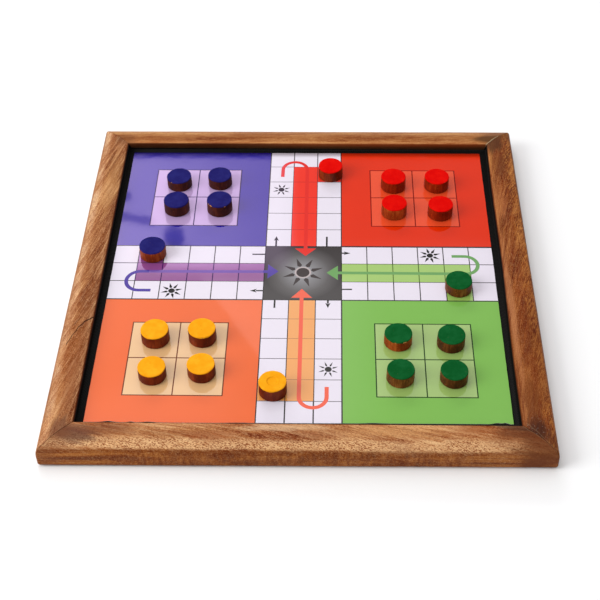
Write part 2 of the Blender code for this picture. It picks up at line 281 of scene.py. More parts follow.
        where = s.math("MULTIPLY", where, s.range(cluster, 0.30, 0.52, 0.45, 1.0))
        lit = s.math("MULTIPLY", s.math("MULTIPLY", s.range(stroke_n, 0.50, 0.36), where), glint * 0.75)
        colour = s.mix(lit, colour, lin(216, 144, 66))
        dim = s.math("MULTIPLY", s.math("MULTIPLY", s.range(stroke_n, 0.52, 0.62), where), glint * 0.6)
        colour = s.mix(dim, colour, lin(160, 96, 62), "MULTIPLY")
    # painted shade: the lowest few millimetres of the rail are darkened towards the floor
    under = s.range(z, 0.0040, 0.0010)
    colour = s.mix(s.math("MULTIPLY", under, 0.35), colour, lin(150, 110, 86), "MULTIPLY")

    # the inner face: a dark stain, plus painted shade that deepens it down towards the lining; on the back rail it is
    # darker towards the left end
    inner_wall = s.math("MULTIPLY", s.range(a, RAIL_W - 0.0010, RAIL_W - 0.0003), s.range(z, 0.0173, 0.0166))
    wall_stain_and_shade = s.mix(s.range(gx, -0.02, 0.08) if k == 2 else 0.6, lin(116, 52, 20), lin(70, 26, 9))
    wall_stain_and_shade = s.mix(s.range(z, 0.0164, 0.0128), wall_stain_and_shade, lin(40, 17, 10))
    colour = s.mix(s.math("MULTIPLY", inner_wall, 0.92), colour, wall_stain_and_shade)

    # weathered patches at the mitres, paler and darker stretches
    plan = s.join(gx, a, 0.0)
    for pg, pa, rg, ra, strength, tint, specks in patches:
        dist = s.vmath("LENGTH", s.mapping(s.vmath("SUBTRACT", plan, (pg, pa, 0.0)), scale=(1 / rg, 1 / ra, 1.0)))
        ragged = s.math("ADD", dist, s.math("MULTIPLY", s.math("SUBTRACT", flame, 0.5), 1.5))
        ragged = s.math("ADD", ragged, s.math("MULTIPLY", s.math("SUBTRACT", zone, 0.5), 1.3))
        soft = s.math("MULTIPLY", s.range(ragged, 1.25, 0.40), strength)
        colour = s.mix(soft, colour, s.mix(s.math("MULTIPLY", pore, 0.4), tint, UMBER))
        if specks:
            dots = s.noise(s.mapping(flat, scale=(1100, 1100, 1100)), detail=1)
            colour = s.mix(s.math("MULTIPLY", s.math("MULTIPLY", s.range(dots, 0.66, 0.72), soft), specks), colour,
                           lin(186, 170, 156))
    cracks = None
    for (g0, a0), (g1, a1), width, tint, strength, depth in marks:
        p, q = Vector((g0, a0, 0)), Vector((g1, a1, 0))
        u = (q - p).normalized()
        rel = s.vmath("SUBTRACT", plan, tuple(p))
        t = s.vmath("DOT_PRODUCT", rel, tuple(u))
        side_d = s.vmath("DOT_PRODUCT", rel, (-u.y, u.x, 0))
        bend = s.math("MULTIPLY", s.math("SUBTRACT", s.noise(s.mapping(flat, scale=(260, 260, 260)), detail=2), 0.5),
                      0.0014)
        off = s.math("ABSOLUTE", s.math("ADD", side_d, bend))
        length = (q - p).length
        ends = s.math("MULTIPLY", s.range(t, -0.0008, 0.0004), s.range(t, length + 0.0008, length - 0.0004))
        m = s.math("MULTIPLY", s.range(off, width, width * 0.35), ends)
        colour = s.mix(s.math("MULTIPLY", m, strength), colour, tint)
        if depth:
            cracks = m if cracks is None else s.math("MAXIMUM", cracks, m)

    height = s.math("SUBTRACT", s.math("MULTIPLY", stroke_n, 0.5), s.math("MULTIPLY", pore, 0.6))
    height = s.math("ADD", height, s.math("MULTIPLY", fine, 0.2))
    if cracks is not None:
        height = s.math("SUBTRACT", height, s.math("MULTIPLY", cracks, 0.6))
    s.set(Base_Color=colour,
          Roughness=s.math("ADD", s.range(streak, 0.3, 0.7, 0.36, 0.48, "LINEAR"), s.math("MULTIPLY", pore, 0.2)),
          Specular_IOR_Level=0.06, Normal=s.bump(height, 0.00014, 0.6))
    return s.mat


# ---------------------------------------------------------------- mesh helpers
def new_object(name, verts, faces, materials, slots=None, smooth=None):
    me = bpy.data.meshes.new(name)
    me.from_pydata([tuple(v) for v in verts], [], [tuple(f) for f in faces])
    for m in materials:
        me.materials.append(m)
    if slots is not None:
        me.polygons.foreach_set("material_index", np.asarray(slots, np.int32))
    me.update()
    if smooth is not None:
        me.shade_smooth()
        me.set_sharp_from_angle(angle=math.radians(smooth))
    ob = bpy.data.objects.new(name, me)
    bpy.context.scene.collection.objects.link(ob)
    return ob


def piece(ob, body, slot, *nodes):
    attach(ob, body)
    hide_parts(*nodes)
    return ob


# ---------------------------------------------------------------- rails
BOTTOM_R, INNER_R = 0.0026, 0.0009
GROOVE_D, GROOVE_LOW, GROOVE_TOP = 0.0043, 0.0067, 0.0113
MITRE_GAP = 0.00015
# outer side, eased edge, bevel and crown, as (in from the outer face, up), in mm
TOP_CURVE = [(0.0, 8.0), (0.08, 9.6), (0.28, 11.1), (0.60, 12.35), (0.98, 13.2), (1.40, 13.8), (1.90, 14.25),
             (2.60, 14.65), (3.80, 15.20), (5.20, 15.76), (6.80, 16.33), (8.60, 16.86), (10.4, 17.28),
             (12.1, 17.54), (13.6, 17.60), (15.6, 17.45), (17.6, 17.23)]


def through(points, steps):
    """A smooth curve through the points (Catmull-Rom)."""
    out = []
    n = len(points)
    for i in range(n - 1):
        p0, p1, p2, p3 = (Vector(points[max(0, min(n - 1, j))]) for j in (i - 1, i, i + 1, i + 2))
        for q in range(steps):
            w = q / steps
            out.append(0.5 * (2 * p1 + (p2 - p0) * w + (2 * p0 - 5 * p1 + 4 * p2 - p3) * w * w
                              + (3 * p1 - 3 * p2 + p3 - p0) * w ** 3))
    out.append(Vector(points[-1]))
    return out


def rail_section():
    """(u in from the outer face, z) round the section, finely divided."""
    pts = []

    def arc(cx, cy, r, a0, a1, n):
        for i in range(n + 1):
            t = math.radians(a0 + (a1 - a0) * i / n)
            pts.append((cx + r * math.cos(t), cy + r * math.sin(t)))

    pts.append((0.0080, 0.0))
    arc(BOTTOM_R, BOTTOM_R, BOTTOM_R, 270, 180, 8)
    pts.append((0.0, 0.0053))
    for q in through(TOP_CURVE, 3):
        pts.append((max(0.0, q.x) * MM, min(q.y * MM, THICK)))
    arc(RAIL_W - INNER_R, THICK - 0.0006 - INNER_R, INNER_R, 80, 0, 6)
    pts.append((RAIL_W, 0.0145))
    pts.append((RAIL_W, GROOVE_TOP))
    pts.append((RAIL_W - GROOVE_D, GROOVE_TOP))
    pts.append((RAIL_W - GROOVE_D, GROOVE_LOW))
    pts.append((RAIL_W, GROOVE_LOW))
    pts.append((RAIL_W, 0.0035))
    arc(RAIL_W - INNER_R, INNER_R, INNER_R, 0, -90, 5)
    return pts


def corner_radius(u, z):
    """Radius in plan of the frame's outline at depth u: the corners were sanded round."""
    return 0.0012 * (1 - min(1.0, u / 0.010)) ** 1.3 + 0.0002


def ease(x):
    x = max(0.0, min(1.0, x))
    return x * x * (3 - 2 * x)


def squareness(x, y):
    """How far the hand-made frame pulls in from true square at that place: its
    right and front rails close in a little towards the front right corner."""
    outer = 0.0014 * max(0.0, min(1.0, (0.135 - y) / 0.286))
    inner = 0.0016 * ease((0.020 - y) / 0.110) - 0.0009 * ease((y - 0.080) / 0.050)
    share = max(0.0, min(1.0, (x - INSIDE) / RAIL_W))
    dx = (inner * (1 - share) + outer * share) * ease((x - 0.1245) / 0.0063)
    front = 0.0017 * max(0.0, min(1.0, (x + 0.140) / 0.291))
    dy = front * max(0.0, min(1.0, (-y - INSIDE) / RAIL_W))
    return -dx, dy


def build_rail(name, k, material, seed):
    section = rail_section()
    straight, arcs = 150, 6
    turn = Matrix.Rotation(math.pi / 2 * k, 3, "Z")
    rng = random.Random(seed)
    phase = [rng.uniform(0, 10) for _ in range(6)]
    rows = []
    for u, z in section:
        r = corner_radius(u, z) if u < 0.0125 else 0.0
        h = HALF - u                                   # half side of the outline at this depth
        row = []
        # arc at the left end, straight, arc at the right end
        pts = []
        if r > 0:
            for i in range(arcs):
                t = math.radians(225 + 45 * i / arcs)
                pts.append((-(h - r) + r * math.cos(t), -(h - r) + r * math.sin(t)))
        for i in range(straight + 1):
            w = -1 + 2 * i / straight
            pts.append((w * (h - r), -h))
        if r > 0:
            for i in range(1, arcs + 1):
                t = math.radians(270 + 45 * i / arcs)
                pts.append(((h - r) + r * math.cos(t), -(h - r) + r * math.sin(t)))
        else:
            pts = [pts[0]] * arcs + pts + [pts[-1]] * arcs
        for x, y in pts:
            # worn by hand: the rounded outer part is never quite even
            if 0.0002 < u < 0.0190 and z > 0.009:
                wave = noise.noise(Vector((x * 28 + phase[0], u * 90, z * 60 + phase[1])))
                fine = noise.noise(Vector((x * 140 + phase[2], u * 260, phase[3])))
                dz = (wave * 0.00016 + fine * 0.00004) - 0.00018
                zz = min(THICK, z + dz * min(1, u / 0.004))
            else:
                zz = z
            if u < 0.003:
                wave = noise.noise(Vector((x * 22 + phase[4], z * 120, phase[5])))
                y = y + max(0.0, 0.00012 + wave * 0.00014) * min(1.0, z / 0.003)
            g = MITRE_GAP * math.sqrt(2)
            lim = -y - g
            x = max(-lim, min(lim, x))
            row.append((x, y, zz, u))
        rows.append(row)
    n_s, n_p = len(rows), len(rows[0])
    verts, index = [], {}
    ids = []
    for row in rows:
        line = []
        for p in row:
            key = (round(p[0] * 1e7), round(p[1] * 1e7), round(p[2] * 1e7))
            if key not in index:
                index[key] = len(verts)
                v = turn @ Vector(p[:3])
                # the groove keeps its place; the faces that show follow the frame
                if p[3] <= 0.0125 or v.z > 0.01135 or (p[3] > 0.0200 and v.z > 0.01125):
                    dx, dy = squareness(v.x, v.y)
                    v.x, v.y = v.x + dx, v.y + dy
                verts.append(v)
            line.append(index[key])
        ids.append(line)
    faces = []
    for i in range(n_s):
        j = (i + 1) % n_s
        for m in range(n_p - 1):
            f = [ids[i][m], ids[j][m], ids[j][m + 1], ids[i][m + 1]]
            f = [v for q, v in enumerate(f) if v != f[q - 1]]
            if len(set(f)) >= 3:
                faces.append(f[::-1])
    left = [ids[i][0] for i in range(n_s)]
    right = [ids[i][-1] for i in range(n_s)]
    faces.append(left[::-1])
    faces.append(right)
    ob = new_object(name + "_wood", verts, faces, [material], smooth=38)
    piece(ob, "board", "frame_wood", name)
    return ob


GREY_BROWN = lin(98, 62, 48)
DARK_KNOT = lin(70, 38, 26)
FLAT_BROWN = lin(104, 58, 32)
CRACK = lin(46, 18, 7)
FILLER = lin(170, 146, 112)
PALE = lin(226, 183, 134)
RAILS = {
    "front_rail": rail_wood(
        "front_rail_hardwood", 0, 1.3, (-18.0, -10.0),
        [(0.05, lin(152, 86, 36)), (0.16, lin(190, 130, 80)), (0.30, lin(198, 144, 95)), (0.48, lin(182, 122, 73)),
         (0.62, lin(177, 115, 67)), (0.76, lin(180, 122, 74)), (0.90, lin(199, 144, 98))],
        (lin(105, 43, 8), lin(131, 65, 19), lin(168, 102, 44)), PALE, band=lin(230, 186, 136), pores=(1.0, 1.0), short=1.35,
        patches=[(-0.129, 0.0122, 0.016, 0.0066, 0.84, lin(98, 61, 47), 0),
                 (-0.110, 0.0148, 0.018, 0.0048, 0.62, lin(122, 70, 44), 0),
                 (-0.144, 0.0075, 0.011, 0.0075, 0.48, lin(122, 72, 44), 0),
                 (-0.137, 0.0150, 0.007, 0.0060, 0.60, lin(112, 66, 42), 0),
                 (-0.075, 0.0118, 0.038, 0.0022, 0.45, lin(146, 88, 50), 0),
                 (-0.048, 0.0112, 0.016, 0.0032, 0.45, lin(152, 86, 50), 0),
                 (-0.010, 0.0165, 0.024, 0.0030, 0.55, lin(222, 184, 142), 0),
                 (0.012, 0.0120, 0.016, 0.0040, 0.45, lin(158, 104, 70), 0),
                 (0.058, 0.0150, 0.032, 0.0055, 0.50, lin(206, 152, 98), 0),
                 (0.104, 0.0165, 0.014, 0.0045, 0.60, lin(150, 84, 44), 0),
                 (0.120, 0.0110, 0.013, 0.0060, 0.55, lin(140, 82, 46), 0),
                 (0.142, 0.0095, 0.019, 0.0120, 0.90, lin(104, 53, 25), 0),
                 (0.126, 0.0140, 0.015, 0.0055, 0.60, lin(92, 46, 24), 0),
                 (0.128, 0.0185, 0.016, 0.0030, 0.70, DARK_KNOT, 0)],
        marks=[((0.1300, 0.0192), (0.1480, 0.0036), 0.00034, FILLER, 0.16, 0)]),
    "right_rail": rail_wood(
        "right_rail_hardwood", 1, 4.9, (-27.0, -11.0),
        [(0.05, lin(149, 76, 22)), (0.25, lin(150, 75, 21)), (0.46, lin(143, 62, 13)), (0.60, lin(144, 64, 16)),
         (0.75, lin(141, 70, 24)), (0.85, lin(144, 80, 34)), (0.94, lin(158, 95, 52))],
        (lin(78, 30, 6), lin(114, 54, 16), lin(154, 86, 32)), lin(200, 134, 70), glint=0.6, pores=(0.8, 0.7), short=1.35,
        patches=[(-0.1350, 0.0130, 0.0106, 0.0078, 0.94, DARK_KNOT, 0.7),
                 (-0.114, 0.0145, 0.016, 0.0052, 0.55, lin(98, 50, 24), 0),
                 (-0.142, 0.0060, 0.010, 0.0060, 0.55, FLAT_BROWN, 0),
                 (-0.078, 0.0095, 0.052, 0.0100, 0.42, lin(116, 56, 20), 0),
                 (-0.030, 0.0182, 0.060, 0.0022, 0.45, lin(186, 122, 80), 0),
                 (0.066, 0.0150, 0.022, 0.0045, 0.45, lin(168, 102, 60), 0),
                 (0.108, 0.0120, 0.020, 0.0050, 0.60, lin(110, 60, 30), 0),
                 (0.132, 0.0130, 0.013, 0.0076, 0.90, lin(84, 50, 30), 0),
                 (0.146, 0.0070, 0.010, 0.0080, 0.60, lin(104, 64, 34), 0)],
        marks=[((-0.1300, 0.0192), (-0.1480, 0.0036), 0.00034, FILLER, 0.16, 0)]),
    "back_rail": rail_wood(
        "back_rail_hardwood", 2, 8.2, (2.0, 1.6),
        [(0.05, lin(176, 124, 76)), (0.38, lin(182, 130, 77)), (0.54, lin(160, 102, 54)), (0.68, lin(142, 80, 36)),
         (0.80, lin(153, 90, 42)), (0.92, lin(186, 126, 73))],
        (lin(88, 42, 14), lin(122, 64, 26), lin(154, 94, 46)), lin(210, 156, 98), pores=(0.25, 0.3), force=0.6,
        patches=[(-0.137, 0.0145, 0.012, 0.0064, 0.88, lin(84, 54, 30), 0),
                 (-0.143, 0.0060, 0.016, 0.0060, 0.70, lin(108, 66, 38), 0),
                 (0.136, 0.0160, 0.010, 0.0060, 0.55, lin(112, 66, 38), 0)],
        marks=[((-0.1316, 0.0197), (-0.1415, 0.0100), 0.00055, FILLER, 0.70, 0)]),
    "left_rail": rail_wood(
        "left_rail_hardwood", 3, 12.6, (-30.0, -12.0),
        [(0.05, lin(200, 166, 134)), (0.25, lin(208, 172, 136)), (0.38, lin(176, 123, 78)), (0.54, lin(149, 88, 43)),
         (0.72, lin(143, 79, 37)), (0.90, lin(136, 73, 34))],
        (lin(124, 72, 34), lin(156, 102, 58), lin(190, 136, 86)), lin(224, 180, 132), pores=(1.0, 0.9), force=0.88, short=1.7,
        patches=[(-0.137, 0.0150, 0.010, 0.0050, 0.55, lin(112, 68, 42), 0),
                 (-0.085, 0.0140, 0.036, 0.0060, 0.45, lin(186, 134, 82), 0),
                 (-0.100, 0.0130, 0.010, 0.0022, 0.40, lin(140, 86, 50), 0),
                 (0.086, 0.0100, 0.042, 0.0100, 0.30, lin(150, 84, 40), 0),
                 (0.100, 0.0145, 0.030, 0.0050, 0.40, lin(140, 80, 46), 0),
                 (0.139, 0.0130, 0.010, 0.0070, 0.70, lin(104, 64, 46), 0)],
        marks=[((0.0468, 0.0200), (0.0510, 0.0152), 0.00060, CRACK, 0.92, 1),
               ((0.0510, 0.0152), (0.0560, 0.0120), 0.00056, CRACK, 0.92, 1),
               ((0.0560, 0.0120), (0.0695, 0.0058), 0.00050, CRACK, 0.90, 1),
               ((0.0470, 0.0128), (0.0535, 0.0082), 0.00034, CRACK, 0.75, 1)]),
}
for i, (rail, mat) in enumerate(RAILS.items()):
    build_rail(rail, i, mat, 11 + i)


# ---------------------------------------------------------------- printed sheets
PAPER = {}


def ink(name, colour, spread=0.03, gloss=0.55):
    """Printed colour under a clear gloss film; the ink is a touch uneven."""
    s = Shader(name)
    co = s.coords()
    n = s.noise(s.mapping(co, scale=(45, 45, 45)), detail=3)
    dark = tuple(c * (1 - spread) for c in colour)
    lite = tuple(min(1.0, c * (1 + spread)) for c in colour)
    tone = s.mix(n, dark, lite)
    if name.startswith("print"):
        # painted shade: the sheet darkens along its back edge, where the back rail shades it
        _, y, _ = s.split(co)
        tone = s.mix(s.range(y, 0.1208, 0.1262, 0.0, 0.75), tone, lin(150, 140, 140), "MULTIPLY")
    s.set(Base_Color=tone)
    film(s, co, gloss)
    return s.mat


def film(s, co, gloss=0.55):
    """The gloss film over the print: nearly mirror smooth, faintly wavy."""
    wavy = s.noise(s.mapping(co, scale=(110, 110, 110)), detail=1)
    s.set(Roughness=s.range(s.noise(s.mapping(co, scale=(16, 16, 16)), detail=2), 0.3, 0.7, 0.026, 0.044, "LINEAR"),
          Specular_IOR_Level=gloss, Normal=s.bump(wavy, 0.000012, 0.6))


def block_ink():
    """Dark square in the middle of the field, lighter towards its centre."""
    s = Shader("print_block")
    co = s.coords()
    r = s.vmath("LENGTH", s.mapping(co, scale=(1 / (1.5 * CELL), 1 / (1.5 * CELL), 0)))
    s.set(Base_Color=s.ramp(r, [(0.0, lin(158, 156, 160)), (0.35, lin(124, 122, 124)),
                                (0.70, lin(86, 82, 82)), (1.0, lin(58, 53, 53))]))
    film(s, co, 0.30)
    return s.mat


INKS = {
    "white": ink("print_white", lin(218, 211, 222), 0.01, 0.14),
    "purple": ink("print_purple", lin(26, 12, 136)),
    "red": ink("print_red", lin(213, 43, 3)),
    "orange": ink("print_orange", lin(223, 99, 48), gloss=0.35),
    "green": ink("print_green", lin(118, 172, 77), gloss=0.22),
    "box_purple": ink("print_box_purple", lin(178, 150, 194)),
    "box_red": ink("print_box_red", lin(226, 74, 36), gloss=1.0),
    "box_orange": ink("print_box_cream", lin(219, 175, 124), gloss=1.0),
    "box_green": ink("print_box_green", lin(146, 177, 96), gloss=1.0),
    "col_red": ink("print_column_red", lin(226, 50, 33)),
    "col_purple": ink("print_column_purple", lin(132, 68, 130), gloss=0.95),
    "col_green": ink("print_column_green", lin(146, 182, 88), gloss=1.0),
    "col_orange": ink("print_column_orange", lin(219, 146, 74)),
    "line": ink("print_line", lin(46, 41, 43), gloss=0.25),
    "line_red": ink("print_line_red", lin(176, 36, 30)),
    "line_purple": ink("print_line_purple", lin(48, 14, 80), gloss=0.25),
    "line_green": ink("print_line_green", lin(74, 104, 36), gloss=0.25),
    "line_orange": ink("print_line_orange", lin(160, 100, 48)),
    "arrow_red": ink("print_arrow_red", lin(212, 46, 38), gloss=0.35),
    "arrow_violet": ink("print_arrow_violet", lin(72, 54, 144), gloss=0.4),
    "arrow_lilac": ink("print_arrow_lilac", lin(108, 78, 156), gloss=0.4),
    "arrow_green": ink("print_arrow_green", lin(100, 150, 84), gloss=0.4),
    "arrow_orange": ink("print_arrow_orange", lin(222, 82, 52), gloss=0.4),
    "block": block_ink(),
    "dark": ink("print_dark", lin(30, 27, 27), gloss=0.25),
    "sun": ink("print_sun", lin(62, 54, 54), gloss=0.25),
    "pale": ink("print_pale", lin(176, 164, 164), gloss=0.25),
    "edge_purple": ink("print_edge_purple", lin(34, 20, 74), gloss=0.25),
    "edge_red": ink("print_edge_red", lin(124, 14, 4), gloss=0.25),
    "edge_orange": ink("print_edge_orange", lin(104, 48, 22), gloss=0.25),
    "edge_green": ink("print_edge_green", lin(20, 54, 8), gloss=0.25),
}


def rect(x0, y0, x1, y1):
    return [(x0, y0), (x1, y0), (x1, y1), (x0, y1)]


def stroke(points, width):
    """Outline of a line of that width along the points, square ended."""
    left, right = [], []
    n = len(points)
    for i, (x, y) in enumerate(points):
        ax, ay = points[max(0, i - 1)]
        bx, by = points[min(n - 1, i + 1)]
        d0 = Vector((x - ax, y - ay)) if i else Vector((bx - x, by - y))
        d1 = Vector((bx - x, by - y)) if i < n - 1 else Vector((x - ax, y - ay))
        d0.normalize()
        d1.normalize()
        n0, n1 = Vector((-d0.y, d0.x)), Vector((-d1.y, d1.x))
        m = (n0 + n1).normalized()
        k = width / 2 / max(0.4, m.dot(n0))
        left.append((x + m.x * k, y + m.y * k))
        right.append((x - m.x * k, y - m.y * k))
    return left + right[::-1]


def curve(cx, cy, r, a0, a1, n=24, ry=None):
    ry = r if ry is None else ry
    return [(cx + r * math.cos(math.radians(a0 + (a1 - a0) * i / n)),
             cy + ry * math.sin(math.radians(a0 + (a1 - a0) * i / n))) for i in range(n + 1)]


def disc(cx, cy, r, n=28):
    return curve(cx, cy, r, 0, 360, n)[:-1]


def partition(width, depth, shapes, base):
    """Cuts the outline (a list of points) into faces that each have one colour.
    shapes are (loops, colour) from the lowest to the topmost; a loop is a list of
    points, and several loops make holes. Returns points, faces and colours."""
    pts, edges = [], []
    for loops, _ in [([base], None)] + shapes:
        for loop in loops:
            start = len(pts)
            pts.extend(Vector(p) for p in loop)
            edges.extend((start + i, start + (i + 1) % len(loop)) for i in range(len(loop)))
    out = delaunay_2d_cdt(pts, edges, [], 0, 1e-5)
    verts, faces = out[0], out[2]
    v = np.array([(p.x, p.y) for p in verts])
    f = np.array([list(t) for t in faces if len(t) == 3], int)
    a, b, c = v[f[:, 0]], v[f[:, 1]], v[f[:, 2]]
    area = (b[:, 0] - a[:, 0]) * (c[:, 1] - a[:, 1]) - (b[:, 1] - a[:, 1]) * (c[:, 0] - a[:, 0])
    f = f[np.abs(area) > 1e-9]
    centre = v[f].mean(1)

    def inside(loops, which):
        x, y = centre[which, 0], centre[which, 1]
        odd = np.zeros(len(x), bool)
        for loop in loops:
            l = np.array(loop, float)
            m = np.roll(l, -1, 0)
            for (x0, y0), (x1, y1) in zip(l, m):
                if y0 == y1:
                    continue
                hit = ((y0 > y) != (y1 > y)) & (x < (x1 - x0) * (y - y0) / (y1 - y0) + x0)
                odd ^= hit
        return odd

    colour = np.full(len(f), "", object)
    everything = np.arange(len(f))
    keep = inside([base], everything)
    for loops, name in shapes:
        every = np.concatenate([np.array(l, float) for l in loops])
        lo, hi = every.min(0), every.max(0)
        which = np.where((centre[:, 0] >= lo[0]) & (centre[:, 0] <= hi[0])
                         & (centre[:, 1] >= lo[1]) & (centre[:, 1] <= hi[1]))[0]
        if len(which):
            colour[which[inside(loops, which)]] = name
    return v, f[keep], colour[keep]


def printed_sheet(name, node, slot, shapes, base, inks, to_world, up, back):
    """A printed sheet as a thin solid whose face is cut into its colours."""
    v, f, colour = partition(0, 0, shapes, base)
    lo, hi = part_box(node)
    top = hi.z if up > 0 else lo.z
    bottom = lo.z if up > 0 else hi.z
    used = sorted(set(colour))
    verts = [(*to_world(x, y), top) for x, y in v]
    faces, slots = [], []
    for t, c in zip(f, colour):
        p = [Vector(verts[i]) for i in t]
        n = (p[1] - p[0]).cross(p[2] - p[0])
        t = list(t) if (n.z > 0) == (up > 0) else list(t)[::-1]
        faces.append(t)
        slots.append(used.index(c))
    # the rim: every boundary edge drops to the other side, which is closed below
    count = {}
    for t in faces:
        for i in range(3):
            e = (t[i], t[(i + 1) % 3])
            count[e] = count.get(e, 0) + 1
    rim = [e for e in count if (e[1], e[0]) not in count]
    twin = {}
    for e in rim:
        for i in e:
            if i not in twin:
                twin[i] = len(verts)
                verts.append((verts[i][0], verts[i][1], bottom))
    for i, j in rim:
        faces.append([j, i, twin[i], twin[j]])
        slots.append(len(used))
    following = {i: j for i, j in rim}
    start = rim[0][0]
    loop, at = [start], following[start]
    while at != start:
        loop.append(at)
        at = following[at]
    faces.append([twin[i] for i in loop][::-1])
    slots.append(len(used))
    used_verts = sorted({i for t in faces for i in t})
    new = {i: k for k, i in enumerate(used_verts)}
    ob = new_object(name, [verts[i] for i in used_verts], [[new[i] for i in t] for t in faces],
                    [inks[c] for c in used] + [back], slots)
    piece(ob, "board", slot, node)
    return ob


W = 0.038            # grid line, in squares


def ludo_shapes():
    out = []

    def add(colour, *loops):
        out.append((list(loops), colour))

    add("white", rect(-0.5, -0.5, 15.5, 15.5))
    yards = {"purple": (0, 0), "red": (9, 0), "orange": (0, 9), "green": (9, 9)}
    for colour, (x, y) in yards.items():
        x0, y0 = (x if x else -0.5), (y if y else -0.5)
        add(colour, rect(x0, y0, x + 6 if x == 0 else 15.5, y + 6 if y == 0 else 15.5))
    # grid of the four arms
    h = W / 2
    for i in range(0, 16):
        if i <= 6 or i >= 9:
            add("line", rect(i - h, 6, i + h, 9))
            add("line", rect(6, i - h * 0.72, 9, i + h * 0.72))
    for j in range(6, 10):
        for a, b in ((-0.5, 6), (9, 15.5)):
            near = a > 0
            across = h * {6: (1.1, 1.9), 9: (1.5, 1.4)}.get(j, (1.0, 1.0))[near]
            down = h * {6: (1.1, 1.1), 9: (1.1, 1.4)}.get(j, (1.0, 1.3))[near]
            add("line", rect(a, j - across, b, j + across))
            add("line", rect(j - down, a, j + down, b))
    # home columns and starting squares
    columns = [("red", 7, 1, 8, 6), ("purple", 1, 7, 6, 8), ("green", 9, 7, 14, 8), ("orange", 7, 9, 8, 14)]
    for colour, x0, y0, x1, y1 in columns:
        g = h * (0.15 if colour == "red" else 0.55)
        add("col_" + colour, rect(x0 + g, y0 + g, x1 - g, y1 - g))
        w = h * (1.0 if colour in ("purple", "green") else 0.7)
        if y1 - y0 > 1:
            for i in range(y0, y1):
                add("line_" + colour, rect(x0, i - w, x1, i + w))
        else:
            for i in range(x0, x1 + 1):
                add("line_" + colour, rect(i - w, y0, i + w, y1))
    for colour, x, y in (("red", 8, 1), ("purple", 1, 6), ("green", 13, 8), ("orange", 6, 13)):
        add("col_" + colour, rect(x + h, y + h, x + 1 - h, y + 1 - h))
    # boxes for the tokens in the yards
    for colour, (x, y) in yards.items():
        cx, cy, b, w = x + 3, y + 3, 1.775, 0.044
        add("edge_" + colour, rect(cx - b - w / 2, cy - b - w / 2, cx + b + w / 2, cy + b + w / 2))
        for sx in (-1, 1):
            for sy in (-1, 1):
                x0, x1 = sorted((cx + sx * w / 2, cx + sx * (b - w / 2)))
                y0, y1 = sorted((cy + sy * w / 2, cy + sy * (b - w / 2)))
                add("box_" + colour, rect(x0, y0, x1, y1))
    # thin turning paths round the corners of the middle square
    t = 0.070

    def path(points, tip, direction):
        add("dark", stroke(points, t))
        dx, dy = direction
        x, y = tip
        add("dark", [(x, y), (x - dx * 0.27 - dy * 0.10, y - dy * 0.27 - dx * 0.10),
                     (x - dx * 0.21, y - dy * 0.21),
                     (x - dx * 0.27 + dy * 0.10, y - dy * 0.27 + dx * 0.10)])

    def bend(cx, cy, r, a0, a1):
        return curve(cx, cy, r, a0, a1, 8)

    path([(5.48, 6.47)] + bend(6.00, 6.07, 0.40, 90, 0) + [(6.40, 5.62)], (6.40, 5.40), (0, -1))
    path([(8.42, 5.42)] + bend(8.82, 5.98, 0.40, 180, 90) + [(9.14, 6.38)], (9.36, 6.38), (1, 0))
    path([(9.40, 8.41)] + bend(8.88, 8.81, 0.40, 270, 180) + [(8.48, 9.18)], (8.48, 9.42), (0, 1))
    path([(6.46, 9.43)] + bend(6.06, 8.91, 0.40, 0, -90) + [(5.72, 8.51)], (5.48, 8.51), (-1, 0))
    # middle square
    add("dark", rect(6 - h, 6 - h, 9 + h, 9 + h))
    add("block", rect(6 + h, 6 + h, 9 - h, 9 - h))
    # hooked arrows that lead each colour home
    s = 0.15
    add("arrow_red", stroke([(6.53, 1.665)] + curve(7.050, 1.19, 0.515, 180, 360) + [(7.580, 6.14)], s))
    add("arrow_red", [(7.584, 6.55), (7.154, 6.11), (8.004, 6.11)])
    add("arrow_violet", stroke([(1.67, 8.52)] + curve(1.19, 7.998, 0.522, 90, 270) + [(1.50, 7.473)], s))
    add("arrow_lilac", stroke([(1.50, 7.473), (5.95, 7.457)], s))
    add("arrow_violet", stroke([(5.95, 7.457), (6.17, 7.455)], s))
    add("arrow_violet", [(6.55, 7.44), (6.13, 7.04), (6.13, 7.84)])
    add("arrow_green", stroke([(13.33, 6.53)] + curve(13.82, 7.025, 0.493, -90, 90) + [(8.83, 7.50)], s))
    add("arrow_green", [(8.42, 7.50), (8.86, 7.10), (8.86, 7.90)])
    add("arrow_orange", stroke([(8.46, 13.33)] + curve(7.97, 13.80, 0.49, 0, 180) + [(7.48, 8.84)], s))
    add("arrow_orange", [(7.48, 8.40), (7.08, 8.88), (7.88, 8.88)])

    def star(cx, cy, disc_r, ring_r, r0, r1, r2, w, turned, colour):
        if ring_r:
            add("pale", disc(cx, cy, ring_r))
        add(colour, disc(cx, cy, disc_r))
        for i in range(8):
            a = math.radians(22.5 + 45 * i + turned)
            c, d = math.cos(a), math.sin(a)
            add(colour, [(cx + c * r0, cy + d * r0), (cx + c * r1 - d * w, cy + d * r1 + c * w),
                         (cx + c * r2, cy + d * r2), (cx + c * r1 + d * w, cy + d * r1 - c * w)])

    for x, y, reach, bold, turned in ((6.505, 2.505, 0.375, 0.040, 3), (12.48, 6.49, 0.435, 0.058, 7),
                                      (8.51, 12.50, 0.385, 0.036, 2), (2.48, 8.54, 0.430, 0.056, 9)):
        star(x, y, 0.126, 0, 0.135, 0.205, reach, bold, turned, "dark")
    star(7.5, 7.49, 0.256, 0.322, 0.330, 0.40, 0.83, 0.098, 4, "sun")
    return out


